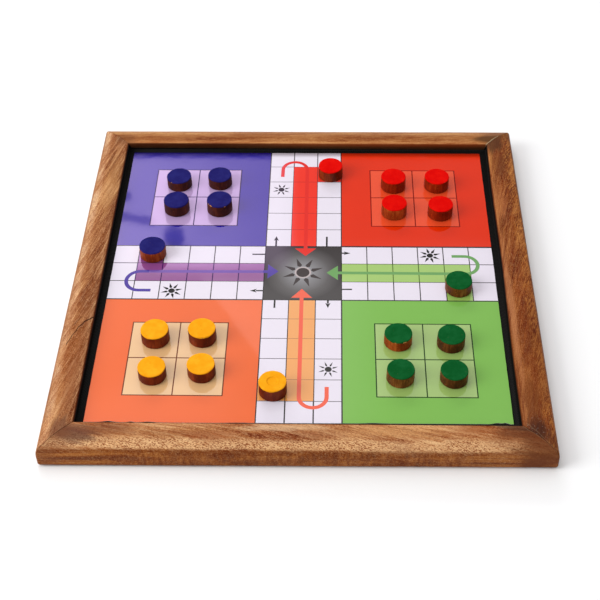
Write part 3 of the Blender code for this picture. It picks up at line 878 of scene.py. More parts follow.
def sheet_outline(x0, y0, x1, y1, seed, nick, taper=0.0, slant=0.0):
    """Outline of a sheet trimmed by hand: nearly straight, with a few nicks at the front."""
    rng = random.Random(seed)
    pts = []
    n = 60
    for i in range(n):
        w = i / n
        pts.append((x0 + (x1 - x0) * w, y0 + rng.uniform(-1, 1) * 0.004))
    for i in range(n):
        w = i / n
        pts.append((x1 - taper * w + rng.uniform(-1, 1) * 0.004, y0 + (y1 - y0) * w))
    m = 260
    for i in range(m):
        w = i / m
        x = x1 - taper + (x0 - x1 + taper) * w
        pts.append((x, y1 + slant * ease(1.15 - 1.15 * (x - x0) / (x1 - x0)) + rng.uniform(-1, 1) * 0.003 - nick(x)))
    for i in range(n):
        w = i / n
        pts.append((x0 + rng.uniform(-1, 1) * 0.004, y1 + slant + (y0 - y1 - slant) * w))
    return pts


def front_nicks(x):
    """How far the front edge of the ludo sheet falls short, in squares."""
    out = 0.0
    for at, wide, deep in ((0.9, 0.22, 0.05), (1.7, 0.10, 0.04), (2.3, 0.25, 0.035), (14.35, 0.16, 0.05),
                           (14.62, 0.10, 0.06), (10.1, 0.3, 0.02), (5.4, 0.4, 0.015)):
        out += deep * math.exp(-((x - at) / wide) ** 2)
    return out


s = Shader("print_back")
co = s.coords()
s.set(Base_Color=s.mix(s.noise(s.mapping(co, scale=(900, 900, 900)), detail=2), lin(214, 210, 204), lin(236, 234, 230)),
      Roughness=0.55)
paper_back = s.mat

lo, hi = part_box("ludo_print")
edge = hi.x / CELL
printed_sheet("ludo_sheet_printed", "ludo_print", "ludo_sheet", ludo_shapes(),
              sheet_outline(7.5 - edge + 0.004, 7.5 - edge + 0.010, 7.5 + edge - 0.004, 7.5 + edge - 0.014,
                            5, front_nicks, 0.060, 0.062),
              INKS, lambda x, y: ((x - 7.5) * CELL, (7.5 - y) * CELL), 1, paper_back)


# ---------------------------------------------------------------- reverse: snakes and ladders
def digit_outlines():
    """Outlines of the ten digits, from Blender's own typeface, one unit high."""
    found = {}
    for d in "0123456789":
        cu = bpy.data.curves.new("digit", "FONT")
        cu.body = d
        cu.size = 1.0
        cu.resolution_u = 3
        cu.fill_mode = "NONE"
        ob = bpy.data.objects.new("digit", cu)
        bpy.context.scene.collection.objects.link(ob)
        bpy.context.view_layer.update()
        me = bpy.data.meshes.new_from_object(ob.evaluated_get(bpy.context.evaluated_depsgraph_get()))
        links = {}
        for e in me.edges:
            a, b = e.vertices
            links.setdefault(a, []).append(b)
            links.setdefault(b, []).append(a)
        left, loops = set(links), []
        while left:
            start = min(left)
            loop, at, before = [], start, None
            while True:
                loop.append(at)
                left.discard(at)
                nxt = [q for q in links[at] if q != before]
                if not nxt or nxt[0] == start and len(loop) > 2 or nxt[0] not in left and nxt[-1] not in left:
                    break
                before, at = at, (nxt[0] if nxt[0] in left else nxt[-1])
            if len(loop) > 2:
                loops.append([(me.vertices[i].co.x, me.vertices[i].co.y) for i in loop])
        xs = [x for loop in loops for x, _ in loop]
        found[d] = (loops, min(xs), max(xs))
        bpy.data.objects.remove(ob, do_unlink=True)
        bpy.data.curves.remove(cu)
        bpy.data.meshes.remove(me)
    return found


SQ = 24.0             # one square of the reverse, in millimetres
FIELD = 5 * SQ


def square_centre(n):
    """Centre of square n of the reverse, counted to and fro from the lower left."""
    row, i = divmod(n - 1, 10)
    col = i if row % 2 == 0 else 9 - i
    return (-FIELD + (col + 0.5) * SQ, -FIELD + (row + 0.5) * SQ)


def snakes_shapes():
    out = []

    def add(colour, *loops):
        out.append((list(loops), colour))

    add("border", rect(-130, -130, 130, 130))
    add("frame_line", rect(-FIELD - 1.6, -FIELD - 1.6, FIELD + 1.6, FIELD + 1.6))
    add("grid", rect(-FIELD - 0.4, -FIELD - 0.4, FIELD + 0.4, FIELD + 0.4))
    tints = ["tint_cream", "tint_green", "tint_yellow", "tint_blue", "tint_pink"]
    for n in range(1, 101):
        x, y = square_centre(n)
        b = SQ / 2 - 0.22
        row = (n - 1) // 10
        add(tints[(n * 2 + row * 3) % 5], rect(x - b, y - b, x + b, y + b))
    digits = digit_outlines()
    size = 7.2
    for n in range(1, 101):
        x, y = square_centre(n)
        text = str(n)
        widths = [digits[c][2] - digits[c][1] for c in text]
        at = x - SQ / 2 + 1.9
        for c, w in zip(text, widths):
            loops, x0, _ = digits[c]
            moved = [[(at + (px - x0) * size, y + SQ / 2 - 1.9 - size * 0.70 + py * size) for px, py in loop]
                     for loop in loops]
            out.append((moved, "number"))
            at += w * size + 0.75

    def between(a, b, n):
        return [(a[0] + (b[0] - a[0]) * i / n, a[1] + (b[1] - a[1]) * i / n) for i in range(n + 1)]

    # ladders: two rails and rungs
    for lo_n, hi_n in ((4, 25), (9, 31), (21, 42), (28, 53), (36, 57), (51, 72), (63, 81), (71, 92)):
        p, q = Vector(square_centre(lo_n)), Vector(square_centre(hi_n))
        p, q = p - Vector((0, 2.0)), q - Vector((0, 2.0))
        u = (q - p).normalized()
        v = Vector((-u.y, u.x))
        length = (q - p).length
        gap = 3.4
        rungs = max(3, int(length / 7.5))
        for i in range(rungs):
            c = p + u * (length * (i + 0.5) / rungs)
            add("rung_edge", stroke([tuple(c - v * gap), tuple(c + v * gap)], 2.1))
            add("rung", stroke([tuple(c - v * gap), tuple(c + v * gap)], 1.4))
        for side in (-1, 1):
            a, b = p + v * gap * side - u * 1.5, q + v * gap * side + u * 1.5
            add("rung_edge", stroke([tuple(a - u * 0.35), tuple(b + u * 0.35)], 2.5))
            add("ladder", stroke([tuple(a), tuple(b)], 1.8))
    # snakes: tapering bodies in a gentle wave, mouth at the higher square
    skins = ["snake_green", "snake_red", "snake_blue", "snake_orange"]
    pairs = ((17, 7), (54, 34), (62, 19), (64, 60), (87, 24), (93, 73), (95, 75), (99, 78))
    for k, (head, tail) in enumerate(pairs):
        p, q = Vector(square_centre(head)), Vector(square_centre(tail))
        p, q = p + Vector((2.0, -2.5)), q + Vector((3.0, -4.0))
        u = (q - p).normalized()
        v = Vector((-u.y, u.x))
        length = (q - p).length
        turns = max(1.0, length / 42)
        n = max(26, int(length / 2.0))
        mid, wid = [], []
        for i in range(n + 1):
            t = i / n
            sway = math.sin(t * turns * 2 * math.pi + k) * 5.2 * math.sin(min(1, t * 4) * math.pi / 2) \
                * (1 - 0.35 * t)
            mid.append(p + u * length * t + v * sway)
            wid.append(2.5 * (1 - t) ** 0.45 + 0.15 if t > 0.06 else 2.1 + 0.4 * t / 0.06)

        def body(extra, only=None):
            left, right = [], []
            for i, c in enumerate(mid):
                a, b = mid[max(0, i - 1)], mid[min(n, i + 1)]
                d = (b - a).normalized()
                w = wid[i] + extra
                left.append((c.x - d.y * w, c.y + d.x * w))
                right.append((c.x + d.y * w, c.y - d.x * w))
            return left + right[::-1]

        skin = skins[k % 4]
        d0 = (mid[1] - mid[0]).normalized()
        e0 = Vector((-d0.y, d0.x))
        # forked tongue
        m = mid[0] - d0 * 3.4
        add("tongue", stroke([tuple(m + d0 * 1.0), tuple(m - d0 * 2.2)], 0.7))
        for side in (-1, 1):
            f = m - d0 * 2.0
            add("tongue", stroke([tuple(f), tuple(f - d0 * 1.5 + e0 * side * 1.1)], 0.6))
        add("outline", body(0.45))
        head_c = mid[0] - d0 * 1.2
        add("outline", [(head_c.x + c * (-d0.x) * 4.35 + s_ * e0.x * 3.65,
                         head_c.y + c * (-d0.y) * 4.35 + s_ * e0.y * 3.65)
                        for c, s_ in curve(0, 0, 1, 0, 360, 26)[:-1]])
        add(skin, body(0.0))
        add(skin, [(head_c.x + c * (-d0.x) * 3.9 + s_ * e0.x * 3.2,
                    head_c.y + c * (-d0.y) * 3.9 + s_ * e0.y * 3.2)
                   for c, s_ in curve(0, 0, 1, 0, 360, 26)[:-1]])
        # plain saddle spots down the back
        for i in range(5, n - 4, 5):
            c = mid[i]
            d = (mid[i + 1] - mid[i - 1]).normalized()
            e = Vector((-d.y, d.x))
            w = wid[i]
            add("saddle", [tuple(c + d * 1.7), tuple(c + e * w * 0.62), tuple(c - d * 1.7), tuple(c - e * w * 0.62)])
        for side in (-1, 1):
            c = head_c - d0 * 0.9 + e0 * side * 1.45
            add("eye", disc(c.x, c.y, 0.85, 14))
            add("outline", disc(c.x - d0.x * 0.2, c.y - d0.y * 0.2, 0.40, 10))
    return out


REVERSE_INKS = {
    "border": ink("reverse_border", lin(176, 46, 38)),
    "frame_line": ink("reverse_frame_line", lin(250, 222, 120)),
    "grid": ink("reverse_grid", lin(60, 52, 50)),
    "tint_cream": ink("reverse_cream", lin(244, 232, 200)),
    "tint_green": ink("reverse_green", lin(150, 200, 130)),
    "tint_yellow": ink("reverse_yellow", lin(248, 210, 96)),
    "tint_blue": ink("reverse_blue", lin(134, 190, 220)),
    "tint_pink": ink("reverse_pink", lin(240, 150, 132)),
    "number": ink("reverse_number", lin(44, 38, 40)),
    "rung": ink("reverse_rung", lin(214, 150, 84)),
    "rung_edge": ink("reverse_rung_edge", lin(74, 44, 26)),
    "ladder": ink("reverse_ladder", lin(178, 108, 52)),
    "snake_green": ink("reverse_snake_green", lin(46, 128, 62)),
    "snake_red": ink("reverse_snake_red", lin(196, 44, 38)),
    "snake_blue": ink("reverse_snake_blue", lin(44, 84, 160)),
    "snake_orange": ink("reverse_snake_orange", lin(226, 120, 36)),
    "saddle": ink("reverse_saddle", lin(246, 226, 130)),
    "eye": ink("reverse_eye", lin(250, 248, 240)),
    "outline": ink("reverse_outline", lin(34, 28, 28)),
    "tongue": ink("reverse_tongue", lin(190, 24, 30)),
}
lo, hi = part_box("snakes_print")
edge = hi.x / MM
printed_sheet("snakes_sheet_printed", "snakes_print", "snakes_sheet", snakes_shapes(),
              sheet_outline(-edge + 0.2, -edge + 0.2, edge - 0.2, edge - 0.2, 9, lambda x: 0.0),
              REVERSE_INKS, lambda x, y: (x * MM, -y * MM), -1, paper_back)


# ---------------------------------------------------------------- black lining
def lining_material():
    s = Shader("lining_black_ribbed")
    co = s.coords()
    dust = s.noise(s.mapping(co, scale=(700, 700, 700)), detail=3, rough=0.7)
    s.set(Base_Color=s.ramp(dust, [(0.35, lin(9, 8, 6)), (0.62, lin(14, 12, 10)), (0.78, lin(28, 24, 20))]),
          Roughness=s.range(dust, 0.3, 0.7, 0.50, 0.70, "LINEAR"), Specular_IOR_Level=0.13,
          Normal=s.bump(s.noise(s.mapping(co, scale=(2200, 2200, 2200)), detail=2), 0.00008, 0.6))
    return s.mat


LINING = lining_material()


def lining_sheet(name, node, up):
    """Embossed sheet, folded up at its edges: fine ribs cross the margin and climb the fold."""
    lo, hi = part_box(node)
    thick = 0.00035
    outer, seen, flat = hi.x, 0.1255, 0.1250
    inner = outer - thick
    floor = thick                                   # heights are counted from the sheet's back
    rim = hi.z - lo.z
    pitch = 0.00130
    n = int(2 * outer / pitch) * 2
    verts, faces, rings = [], [], []

    def edge_height(k, w):
        """The fold was trimmed by hand, lower along part of the far side."""
        x = (w, 0, -w, 0)[k]
        low = 0.00025 + 0.00022 * noise.noise(Vector((w * 30 + k * 7, k * 3.1 + up, 1.7)))
        if k == 2:
            low += 0.0027 + 0.0007 * max(0.0, min(1.0, 0.5 + x))
            low *= ease((1 - abs(x)) / 0.012)
        return rim - max(0.0, low)

    # (half width, height or None for the trimmed rim, rib depth inwards, rib depth downwards)
    levels = [(outer, 0.0, 0, 0), (outer, None, 0, 0), (inner + 0.00003, None, 0, 0), (inner, "under", 1, 0),
              (inner, floor + 0.0005, 1, 0), (inner - 0.0004, floor, 0, 1), (seen, floor, 0, 1),
              (flat, floor, 0, 0)]
    for half, height, rib_in, rib_down in levels:
        ring = []
        for k in range(4):
            turn = Matrix.Rotation(math.pi / 2 * k, 3, "Z")
            for i in range(n):
                w = -1 + 2 * i / n
                odd = i % 2 and 0 < i < n
                z = height
                if height is None:
                    z = edge_height(k, w)
                elif height == "under":
                    z = edge_height(k, w) - 0.0002
                if rib_down and odd:
                    z -= 0.00030
                h = half + (0.00028 if rib_in and odd else 0.0)
                if up < 0:
                    z = hi.z - z
                else:
                    z = lo.z + z
                ring.append(len(verts))
                v = turn @ Vector((w * half, -h, z))
                if up > 0:
                    dx, dy = squareness(v.x, v.y)
                    v.x, v.y = v.x + dx, v.y + dy
                verts.append(v)
        rings.append(ring)
    m = len(rings[0])
    for a, b in zip(rings, rings[1:]):
        for i in range(m):
            j = (i + 1) % m
            faces.append((a[i], a[j], b[j], b[i]))
    faces.append(tuple(rings[-1]))
    faces.append(tuple(rings[0][::-1]))
    if up < 0:
        faces = [f[::-1] for f in faces]
    ob = new_object(name, verts, faces, [LINING], smooth=20)
    piece(ob, "board", "black_lining", node)


lining_sheet("upper_lining_ribbed", "upper_lining", 1)
lining_sheet("lower_lining_ribbed", "lower_lining", -1)


# ---------------------------------------------------------------- tokens
def paint(name, colour, lite, speck):
    s = Shader(name)
    co = s.coords()
    cloud = s.noise(s.mapping(co, scale=(170, 170, 170)), detail=3, rough=0.6)
    c = s.mix(s.range(cloud, 0.35, 0.70), colour, lite)
    dots = s.noise(s.mapping(co, loc=(3, 1, 0), scale=(950, 950, 950)), detail=1.5)
    c = s.mix(s.range(dots, 0.715, 0.76, 0.0, 0.55), c, speck)
    brush = s.noise(s.mapping(co, rot=(0, 0, 0.6), scale=(220, 1500, 300)), detail=2)
    s.set(Base_Color=c, Roughness=s.range(cloud, 0.3, 0.7, 0.48, 0.62, "LINEAR"), Specular_IOR_Level=0.02,
          Normal=s.bump(s.math("ADD", brush, s.math("MULTIPLY", dots, 0.6)), 0.00010, 0.5))
    return s.mat


def side_wood(name, dark, mid, lite, seed, flecks=0.3):
    """Lacquered side of a disc: faint upright grain, saw marks and a few light flecks."""
    s = Shader(name)
    co = s.coords()
    grain = s.noise(s.mapping(co, loc=(seed, seed, 0), scale=(900, 900, 110)), detail=2.5, rough=0.55)
    zone = s.noise(s.mapping(co, loc=(0, seed, 0), scale=(130, 130, 70)), detail=2)
    tone = s.math("ADD", s.math("MULTIPLY", grain, 0.35), s.math("MULTIPLY", zone, 0.65))
    c = s.ramp(tone, [(0.34, dark), (0.52, mid), (0.68, lite)])
    fleck = s.noise(s.mapping(co, loc=(seed, 0, 2), scale=(1500, 1500, 900)), detail=1)
    c = s.mix(s.range(fleck, 0.66, 0.72, 0.0, flecks), c, lin(206, 120, 50))
    s.set(Base_Color=c, Roughness=s.range(grain, 0.3, 0.7, 0.40, 0.56, "LINEAR"), Specular_IOR_Level=0.10,
          Normal=s.bump(grain, 0.00012, 0.6))
    return s.mat


PAINTS = {
    "blue": paint("paint_blue", lin(29, 26, 91), lin(36, 35, 102), lin(92, 70, 90)),
    "red": paint("paint_red", lin(206, 4, 2), lin(216, 14, 6), lin(140, 10, 6)),
    "yellow": paint("paint_yellow", lin(231, 152, 18), lin(243, 166, 30), lin(170, 92, 12)),
    "green": paint("paint_green", lin(8, 78, 32), lin(18, 88, 42), lin(84, 92, 60)),
}
SIDES = {
    "dark": side_wood("disc_side_dark", lin(46, 16, 10), lin(70, 26, 16), lin(104, 48, 28), 1.1, 0.15),
    "russet": side_wood("disc_side_russet", lin(80, 20, 4), lin(110, 34, 8), lin(146, 60, 20), 2.3, 0.15),
    "orange": side_wood("disc_side_orange", lin(104, 34, 6), lin(144, 56, 14), lin(190, 94, 36), 3.7, 0.5),
    "brown": side_wood("disc_side_brown", lin(72, 34, 10), lin(112, 60, 22), lin(160, 102, 50), 5.1, 0.5),
    "ruddy": side_wood("disc_side_ruddy", lin(98, 16, 1), lin(138, 34, 3), lin(182, 58, 9), 7.2, 0.3),
    "umber": side_wood("disc_side_umber", lin(54, 26, 8), lin(86, 44, 14), lin(136, 78, 36), 6.4, 0.3),
}
BARE = side_wood("disc_bare_edge", lin(140, 84, 40), lin(186, 124, 62), lin(214, 156, 90), 8.9)

# which side each token shows, and how much of its rim is bare or chipped:
# (side, chips as (angle in degrees, width in degrees, depth in mm), dished)
LOOK = {
    "blue": [("orange", [(200, 30, 0.25)], 0), ("dark", [(235, 26, 0.35), (150, 20, 0.2)], 0),
             ("dark", [(330, 25, 0.25)], 0), ("dark", [(300, 30, 0.35), (20, 20, 0.2)], 0),
             ("dark", [(226, 34, 0.52), (300, 12, 0.42)], 0)],
    "red": [("russet", [(260, 20, 0.2)], 0), ("ruddy", [(240, 30, 0.2)], 0), ("ruddy", [(280, 20, 0.2)], 0),
            ("orange", [(250, 24, 0.25)], 0), ("ruddy", [(300, 24, 0.25)], 0)],
    "yellow": [("russet", [(265, 20, 0.25)], 1), ("russet", [(240, 30, 0.2)], 0),
               ("russet", [(275, 22, 0.45), (300, 16, 0.3)], 0), ("russet", [(220, 20, 0.2)], 0),
               ("russet", [(310, 22, 0.2)], 0)],
    "green": [("brown", [(200, 40, 0.3)], 0), ("orange", [(295, 30, 0.45), (255, 14, 0.5), (240, 10, 0.4)], 0),
              ("umber", [(170, 24, 0.3)], 0), ("brown", [(215, 30, 0.25)], 0), ("umber", [(240, 24, 0.25)], 0)],
}


def build_token(name, colour, look, seed):
    side, chips, dished = look
    lo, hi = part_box(name)
    cx, cy = (lo.x + hi.x) / 2, (lo.y + hi.y) / 2
    radius, base, h = (hi.x - lo.x) / 2, lo.z, hi.z - lo.z
    rng = random.Random(seed)
    n = 96
    harmonics = [(k, rng.uniform(0, 2 * math.pi), rng.uniform(0.3, 1.0) / k ** 0.9) for k in range(2, 9)]
    facets = sorted(rng.uniform(0, 2 * math.pi) for _ in range(7))
    tilt_a, tilt = rng.uniform(0, 2 * math.pi), rng.uniform(0.04, 0.16) * MM
    lean_a, lean = rng.uniform(0, 2 * math.pi), rng.uniform(0.05, 0.30) * MM

    def outline(t, level):
        """Radius at angle t; level 0 foot, 1 rim."""
        r = 0.0
        for k, p, w in harmonics:
            r += w * math.cos(k * t + p + level * 0.25)
        r = radius - 0.00016 + r * 0.00013
        for f in facets:                       # flats left by the saw or rasp
            d = (t - f + math.pi) % (2 * math.pi) - math.pi
            flat = (radius - 0.00020) / max(0.2, math.cos(d))
            r = min(r, flat + 0.00002) if abs(d) < 0.5 else r
        return min(r, radius) + noise.noise(Vector((math.cos(t) * 7, math.sin(t) * 7, level * 2 + seed))) * 0.00007

    def chip(t):
        out = 0.0
        for at, wide, deep in chips:
            d = (math.degrees(t) - at + 180) % 360 - 180
            if abs(d) < wide:
                out = max(out, deep * (0.5 + 0.5 * math.cos(math.pi * d / wide))
                          * (0.75 + 0.5 * noise.noise(Vector((t * 9, seed, 3)))))
        return out * MM

    levels = [(0.00, -0.35), (0.035, 0.0), (0.18, 0.02), (0.40, 0.03), (0.62, 0.0), (0.82, 0.02)]
    verts, rings = [], []
    taper = 0.00010

    def ring(points):
        rings.append(list(range(len(verts), len(verts) + n)))
        verts.extend(points)

    for f, inset in levels:
        pts = []
        for i in range(n):
            t = 2 * math.pi * i / n
            r = outline(t, f) - taper * f + (inset * MM if inset < 0 else 0)
            r += noise.noise(Vector((math.cos(t) * 26, math.sin(t) * 26, f * 3 + seed))) * 0.00004 if f > 0.03 else 0
            r = min(r, radius)
            shift = lean * f
            pts.append((cx + r * math.cos(t) + shift * math.cos(lean_a) * 0.6,
                        cy + r * math.sin(t) + shift * math.sin(lean_a) * 0.6, base + f * h))
        ring(pts)
    # the rim: lower edge of the paint, then the eased edge, then the painted top
    for inset, drop, follow in ((0.00, 0.62, 1.0), (0.03, 0.36, 0.9), (0.14, 0.12, 0.5), (0.38, 0.02, 0.12)):
        pts = []
        for i in range(n):
            t = 2 * math.pi * i / n
            c = chip(t)
            ragged = noise.noise(Vector((math.cos(t) * 9, math.sin(t) * 9, seed * 1.3))) * 0.16 * MM * follow
            r = outline(t, 1) - taper - inset * MM - c * (0.9 if follow < 0.95 else 0.25)
            z = h - drop * MM - (c * 0.55 if follow < 0.95 else c * 1.1) * follow + ragged * (1 if follow == 1.0 else 0.25)
            z += tilt * math.cos(t - tilt_a) * 0.5 - tilt * 0.5
            shift = lean
            pts.append((cx + r * math.cos(t) + shift * math.cos(lean_a) * 0.6,
                        cy + r * math.sin(t) + shift * math.sin(lean_a) * 0.6, base + min(h, z)))
        ring(pts)
    # painted top
    for share in (0.86, 0.70, 0.56, 0.50, 0.46, 0.43, 0.40, 0.36, 0.30, 0.18, 0.06):
        pts = []
        for i in range(n):
            t = 2 * math.pi * i / n
            r = (outline(t, 1) - taper) * share
            z = h - tilt * 0.5 + tilt * 0.5 * math.cos(t - tilt_a) * share
            z -= 0.00005 + noise.noise(Vector((r * 600 * math.cos(t), r * 600 * math.sin(t), seed))) * 0.00004
            if dished:
                d = share - 0.45
                z += 0.00016 * math.exp(-(d / 0.05) ** 2)
                z -= 0.00034 * (1 - max(0.0, min(1.0, (share - 0.36) / 0.07)))
            pts.append((cx + r * math.cos(t) + lean * math.cos(lean_a) * 0.6,
                        cy + r * math.sin(t) + lean * math.sin(lean_a) * 0.6, base + min(h, z)))
        ring(pts)
    faces, slots = [], []
    n_side = len(levels)
    for k in range(len(rings) - 1):
        a, b = rings[k], rings[k + 1]
        for i in range(n):
            j = (i + 1) % n
            faces.append((a[i], a[j], b[j], b[i]))
            t = 2 * math.pi * (i + 0.5) / n
            c = chip(t) / MM
            if k < n_side - 1:
                slot = 0
            elif k == n_side - 1:
                slot = 0
            elif k == n_side:
                slot = 2 if c > 0.30 else 1
            elif k == n_side + 1:
                slot = 2 if c > 0.42 else 1
            else:
                slot = 1
            slots.append(slot)
    faces.append(tuple(rings[-1]))
    slots.append(1)
    # foot and the blind seat for the magnet
    m_lo, m_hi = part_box(name + "_magnet")
    seat_r, seat_h = (m_hi.x - m_lo.x) / 2 + 0.0003, m_hi.z - base + 0.0003
    for r, z in ((seat_r + 0.0004, 0.0), (seat_r, 0.0001), (seat_r, seat_h)):
        ring([(cx + r * math.cos(2 * math.pi * i / n), cy + r * math.sin(2 * math.pi * i / n), base + z)
              for i in range(n)])
    foot = [rings[0], rings[-3], rings[-2], rings[-1]]
    for a, b in zip(foot, foot[1:]):
        for i in range(n):
            j = (i + 1) % n
            faces.append((b[i], b[j], a[j], a[i]))
            slots.append(0)
    faces.append(tuple(rings[-1][::-1]))
    slots.append(0)
    ob = new_object(name + "_disc", verts, faces, [SIDES[side], PAINTS[colour], BARE], slots, smooth=32)
    body = [b for b, members in frame["record"]["behaviour"]["bodies"].items() if name in members][0]
    piece(ob, body, f"{colour}_token", name)


for colour in ("blue", "red", "yellow", "green"):
    for i in range(5):
        build_token(f"{colour}_token_{i + 1}", colour, LOOK[colour][i], 100 * "bryg".index(colour[0]) + i + 1)


# ---------------------------------------------------------------- carried-over CAD nodes
def steel_material(name, base, rough, brush):
    s = Shader(name)
    co = s.coords()
    n = s.noise(s.mapping(co, scale=brush), detail=3, rough=0.6)
    s.set(Base_Color=s.mix(n, tuple(c * 0.8 for c in base), base), Metallic=1.0,
          Roughness=s.range(n, 0.3, 0.7, rough - 0.06, rough + 0.08, "LINEAR"),
          Normal=s.bump(n, 0.00002, 0.4))
    return s.mat


BRAD = steel_material("brad_steel_drawn", lin(150, 148, 144), 0.34, (900, 900, 900))
SHEET = steel_material("tinned_sheet", lin(176, 178, 180), 0.30, (40, 900, 40))
NICKEL = steel_material("magnet_nickel", lin(176, 172, 164), 0.26, (700, 700, 120))
s = Shader("core_board_fibre")
co = s.coords()
n = s.noise(s.mapping(co, scale=(1600, 1600, 3000)), detail=4, rough=0.7)
s.set(Base_Color=s.ramp(n, [(0.3, lin(112, 82, 54)), (0.55, lin(150, 114, 78)), (0.75, lin(182, 146, 104))]),
      Roughness=0.8, Normal=s.bump(n, 0.00006, 0.6))
CORE = s.mat
for node_name, ob in frame["nodes"].items():
    if ob.hide_render:
        continue
    if "brad" in node_name:
        mat, slot = BRAD, "brad_steel"
    elif "steel_sheet" in node_name:
        mat, slot = SHEET, "steel_sheet"
    elif "magnet" in node_name:
        mat, slot = NICKEL, "magnet"
    else:
        mat, slot = CORE, "core_board"
    ob.data.materials.clear()
    ob.data.materials.append(mat)

# ---------------------------------------------------------------- floor and light
me = bpy.data.meshes.new("studio_floor")
e = 6.0
me.from_pydata([(-e, -e, -0.0002), (e, -e, -0.0002), (e, e, -0.0002), (-e, e, -0.0002)], [], [(0, 1, 2, 3)])
floor = bpy.data.objects.new("studio_floor", me)
bpy.context.scene.collection.objects.link(floor)
s = Shader("studio_floor_pale")
co = s.coords()
n = s.noise(s.mapping(co, scale=(3, 3, 3)), detail=2)
s.set(Base_Color=s.mix(n, (0.90, 0.90, 0.90), (0.92, 0.92, 0.92)), Roughness=0.9, Specular_IOR_Level=0.1)
me.materials.append(s.mat)

world = bpy.data.worlds.new("studio")
bpy.context.scene.world = world
world.use_nodes = True
world.node_tree.nodes["Background"].inputs["Color"].default_value = (1.0, 1.0, 1.0, 1.0)
world.node_tree.nodes["Background"].inputs["Strength"].default_value = 0.42


def softbox(name, place, target, width, depth, radiance, colour=(1, 1, 1), mirrored=True):
    """Area light of a given brightness as seen from the front."""
    data = bpy.data.lights.new(name, "AREA")
    data.shape = "RECTANGLE"
    data.size, data.size_y = width, depth
    data.energy = radiance * math.pi * width * depth
    data.color = colour
    ob = bpy.data.objects.new(name, data)
    bpy.context.scene.collection.objects.link(ob)
    ob.location = place
    ob.rotation_euler = (Vector(target) - Vector(place)).to_track_quat("-Z", "Y").to_euler()
    ob.visible_glossy = mirrored
    return ob


softbox("softbox_top", (-0.30, 0.0, 2.1), (0, 0, 0), 2.0, 2.0, 1.32)
softbox("softbox_back", (-0.25, 2.10, 1.20), (0, 0, 0), 2.0, 0.36, 8.5, mirrored=False)
softbox("softbox_left", (-1.6, -0.5, 1.1), (0, 0, 0), 1.2, 1.2, 6.0)

# An uneven bright card behind the board: what the gloss print mirrors.
me = bpy.data.meshes.new("reflector_card")
me.from_pydata([(-1.1, -0.8, 0), (1.1, -0.8, 0), (1.1, 0.8, 0), (-1.1, 0.8, 0)], [], [(3, 2, 1, 0)])
card = bpy.data.objects.new("reflector_card", me)
bpy.context.scene.collection.objects.link(card)
c = math.sqrt(0.5)
card.matrix_world = Matrix(((1, 0, 0, 0), (0, -c, c, 2.4 * c), (0, c, c, 2.4 * c), (0, 0, 0, 1)))
s = Shader("reflector_card_glow")
co = s.coords()
X, V, _ = s.split(co)


def window(value, lo0, lo1, hi0, hi1):
    return s.math("MULTIPLY", s.range(value, lo0, lo1), s.range(value, hi1, hi0))


def blob(x, v, rx, rv):
    """1 in the middle of a soft oval, 0 outside."""
    d = s.vmath("LENGTH", s.mapping(s.vmath("SUBTRACT", s.join(X, V, 0.0), (x, v, 0)), scale=(1 / rx, 1 / rv, 1)))
    return s.range(d, 1.0, 0.55)


veil_a = s.math("MULTIPLY", window(X, -0.80, -0.70, -0.13, -0.06), window(V, -0.52, -0.42, -0.085, -0.02))
veil_a = s.math("MULTIPLY", veil_a, s.range(X, -0.46, -0.16, 1.0, 0.58, "LINEAR"))
veil_a = s.math("MULTIPLY", veil_a, s.range(V, -0.24, -0.12, 1.0, 1.24))
below = s.math("SUBTRACT", V, s.math("MULTIPLY", s.math("ADD", X, 0.53), 0.176))
shade = s.math("MULTIPLY", s.range(below, -0.199, -0.192), s.range(below, -0.164, -0.182))
shade = s.math("MULTIPLY", s.math("MULTIPLY", shade, s.range(X, -0.430, -0.468)), 0.74)
veil_a = s.math("MULTIPLY", veil_a, s.math("SUBTRACT", 1.0, shade))
for x, v, rx, rv, deep in ((-0.530, -0.239, 0.022, 0.015, 0.85), (-0.398, -0.130, 0.036, 0.042, 0.88),
                           (-0.376, -0.092, 0.044, 0.022, 0.55)):
    veil_a = s.math("MULTIPLY", veil_a, s.math("SUBTRACT", 1.0, s.math("MULTIPLY", blob(x, v, rx, rv), deep)))
slant = s.math("SUBTRACT", X, s.math("MULTIPLY", s.math("MINIMUM", V, 0.24), 0.74))
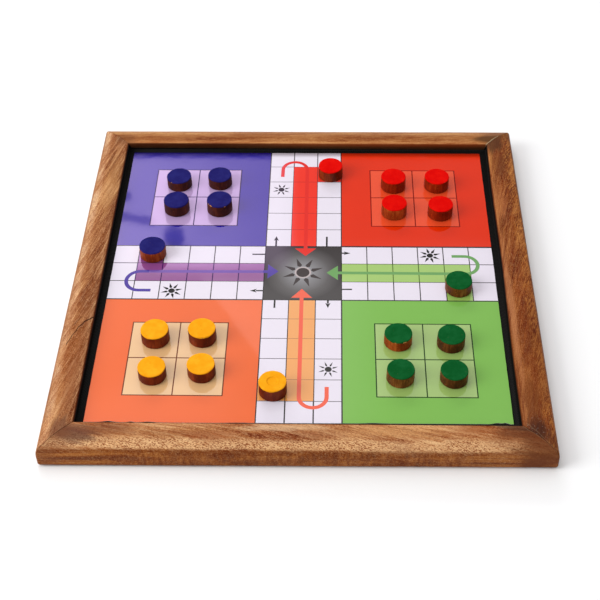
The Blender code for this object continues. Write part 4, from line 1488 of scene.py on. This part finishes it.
veil_b = s.math("MULTIPLY", s.range(slant, -0.318, -0.298), s.range(X, 0.19, 0.03))
veil_b = s.math("MULTIPLY", veil_b, window(V, -0.04, 0.02, 0.30, 0.50))
veil_c = s.math("MULTIPLY", s.range(X, -0.14, -0.32), s.range(V, 0.22, 0.34, 0.55, 1.0))
veil_c = s.math("MULTIPLY", veil_c, s.range(V, -0.02, 0.06))
glow = s.math("ADD", s.math("MULTIPLY", veil_b, 1.15), s.math("MULTIPLY", veil_c, 0.75))
glow = s.math("ADD", s.range(V, -0.14, -0.04, 0.36, 0.95), s.math("ADD", s.math("MULTIPLY", veil_a, 3.2), glow))
glow = s.math("MULTIPLY", glow, s.range(V, -0.348, -0.337, 0.05, 1.0))
soft = s.noise(s.mapping(co, scale=(4, 4, 4)), detail=2)
glow = s.math("MULTIPLY", glow, s.range(soft, 0.3, 0.7, 0.88, 1.12, "LINEAR"))
s.tree.nodes.remove(s.bsdf)
em = s.node("Emission", inputs={"Color": s.mix(s.range(veil_a, 0.0, 0.3), (1.0, 1.0, 1.0), (1.0, 0.80, 1.16)), "Strength": glow})
s.tree.links.new(em.outputs[0], [n for n in s.tree.nodes if n.type == "OUTPUT_MATERIAL"][0].inputs["Surface"])
me.materials.append(s.mat)

# ---------------------------------------------------------------- camera
data = bpy.data.cameras.new("camera")
cam = bpy.data.objects.new("camera", data)
bpy.context.scene.collection.objects.link(cam)
data.sensor_width = 36.0
data.lens = 1193.94 / 600 * 36.0
data.shift_x, data.shift_y = -0.5 / 600, 0.5 / 600
data.clip_start, data.clip_end = 0.05, 50.0
right, up = Vector((0.99969, 0.02150, -0.01248)), Vector((-0.00647, 0.70985, 0.70433))
right.normalize()
back_dir = right.cross(up).normalized()
up = back_dir.cross(right)
cam.matrix_world = Matrix(((right.x, up.x, back_dir.x, 0.01748), (right.y, up.y, back_dir.y, -0.56862),
                           (right.z, up.z, back_dir.z, 0.55908), (0, 0, 0, 1)))
bpy.context.scene.camera = cam
bpy.context.scene.view_settings.view_transform = "Standard"
bpy.context.scene.view_settings.look = "None"
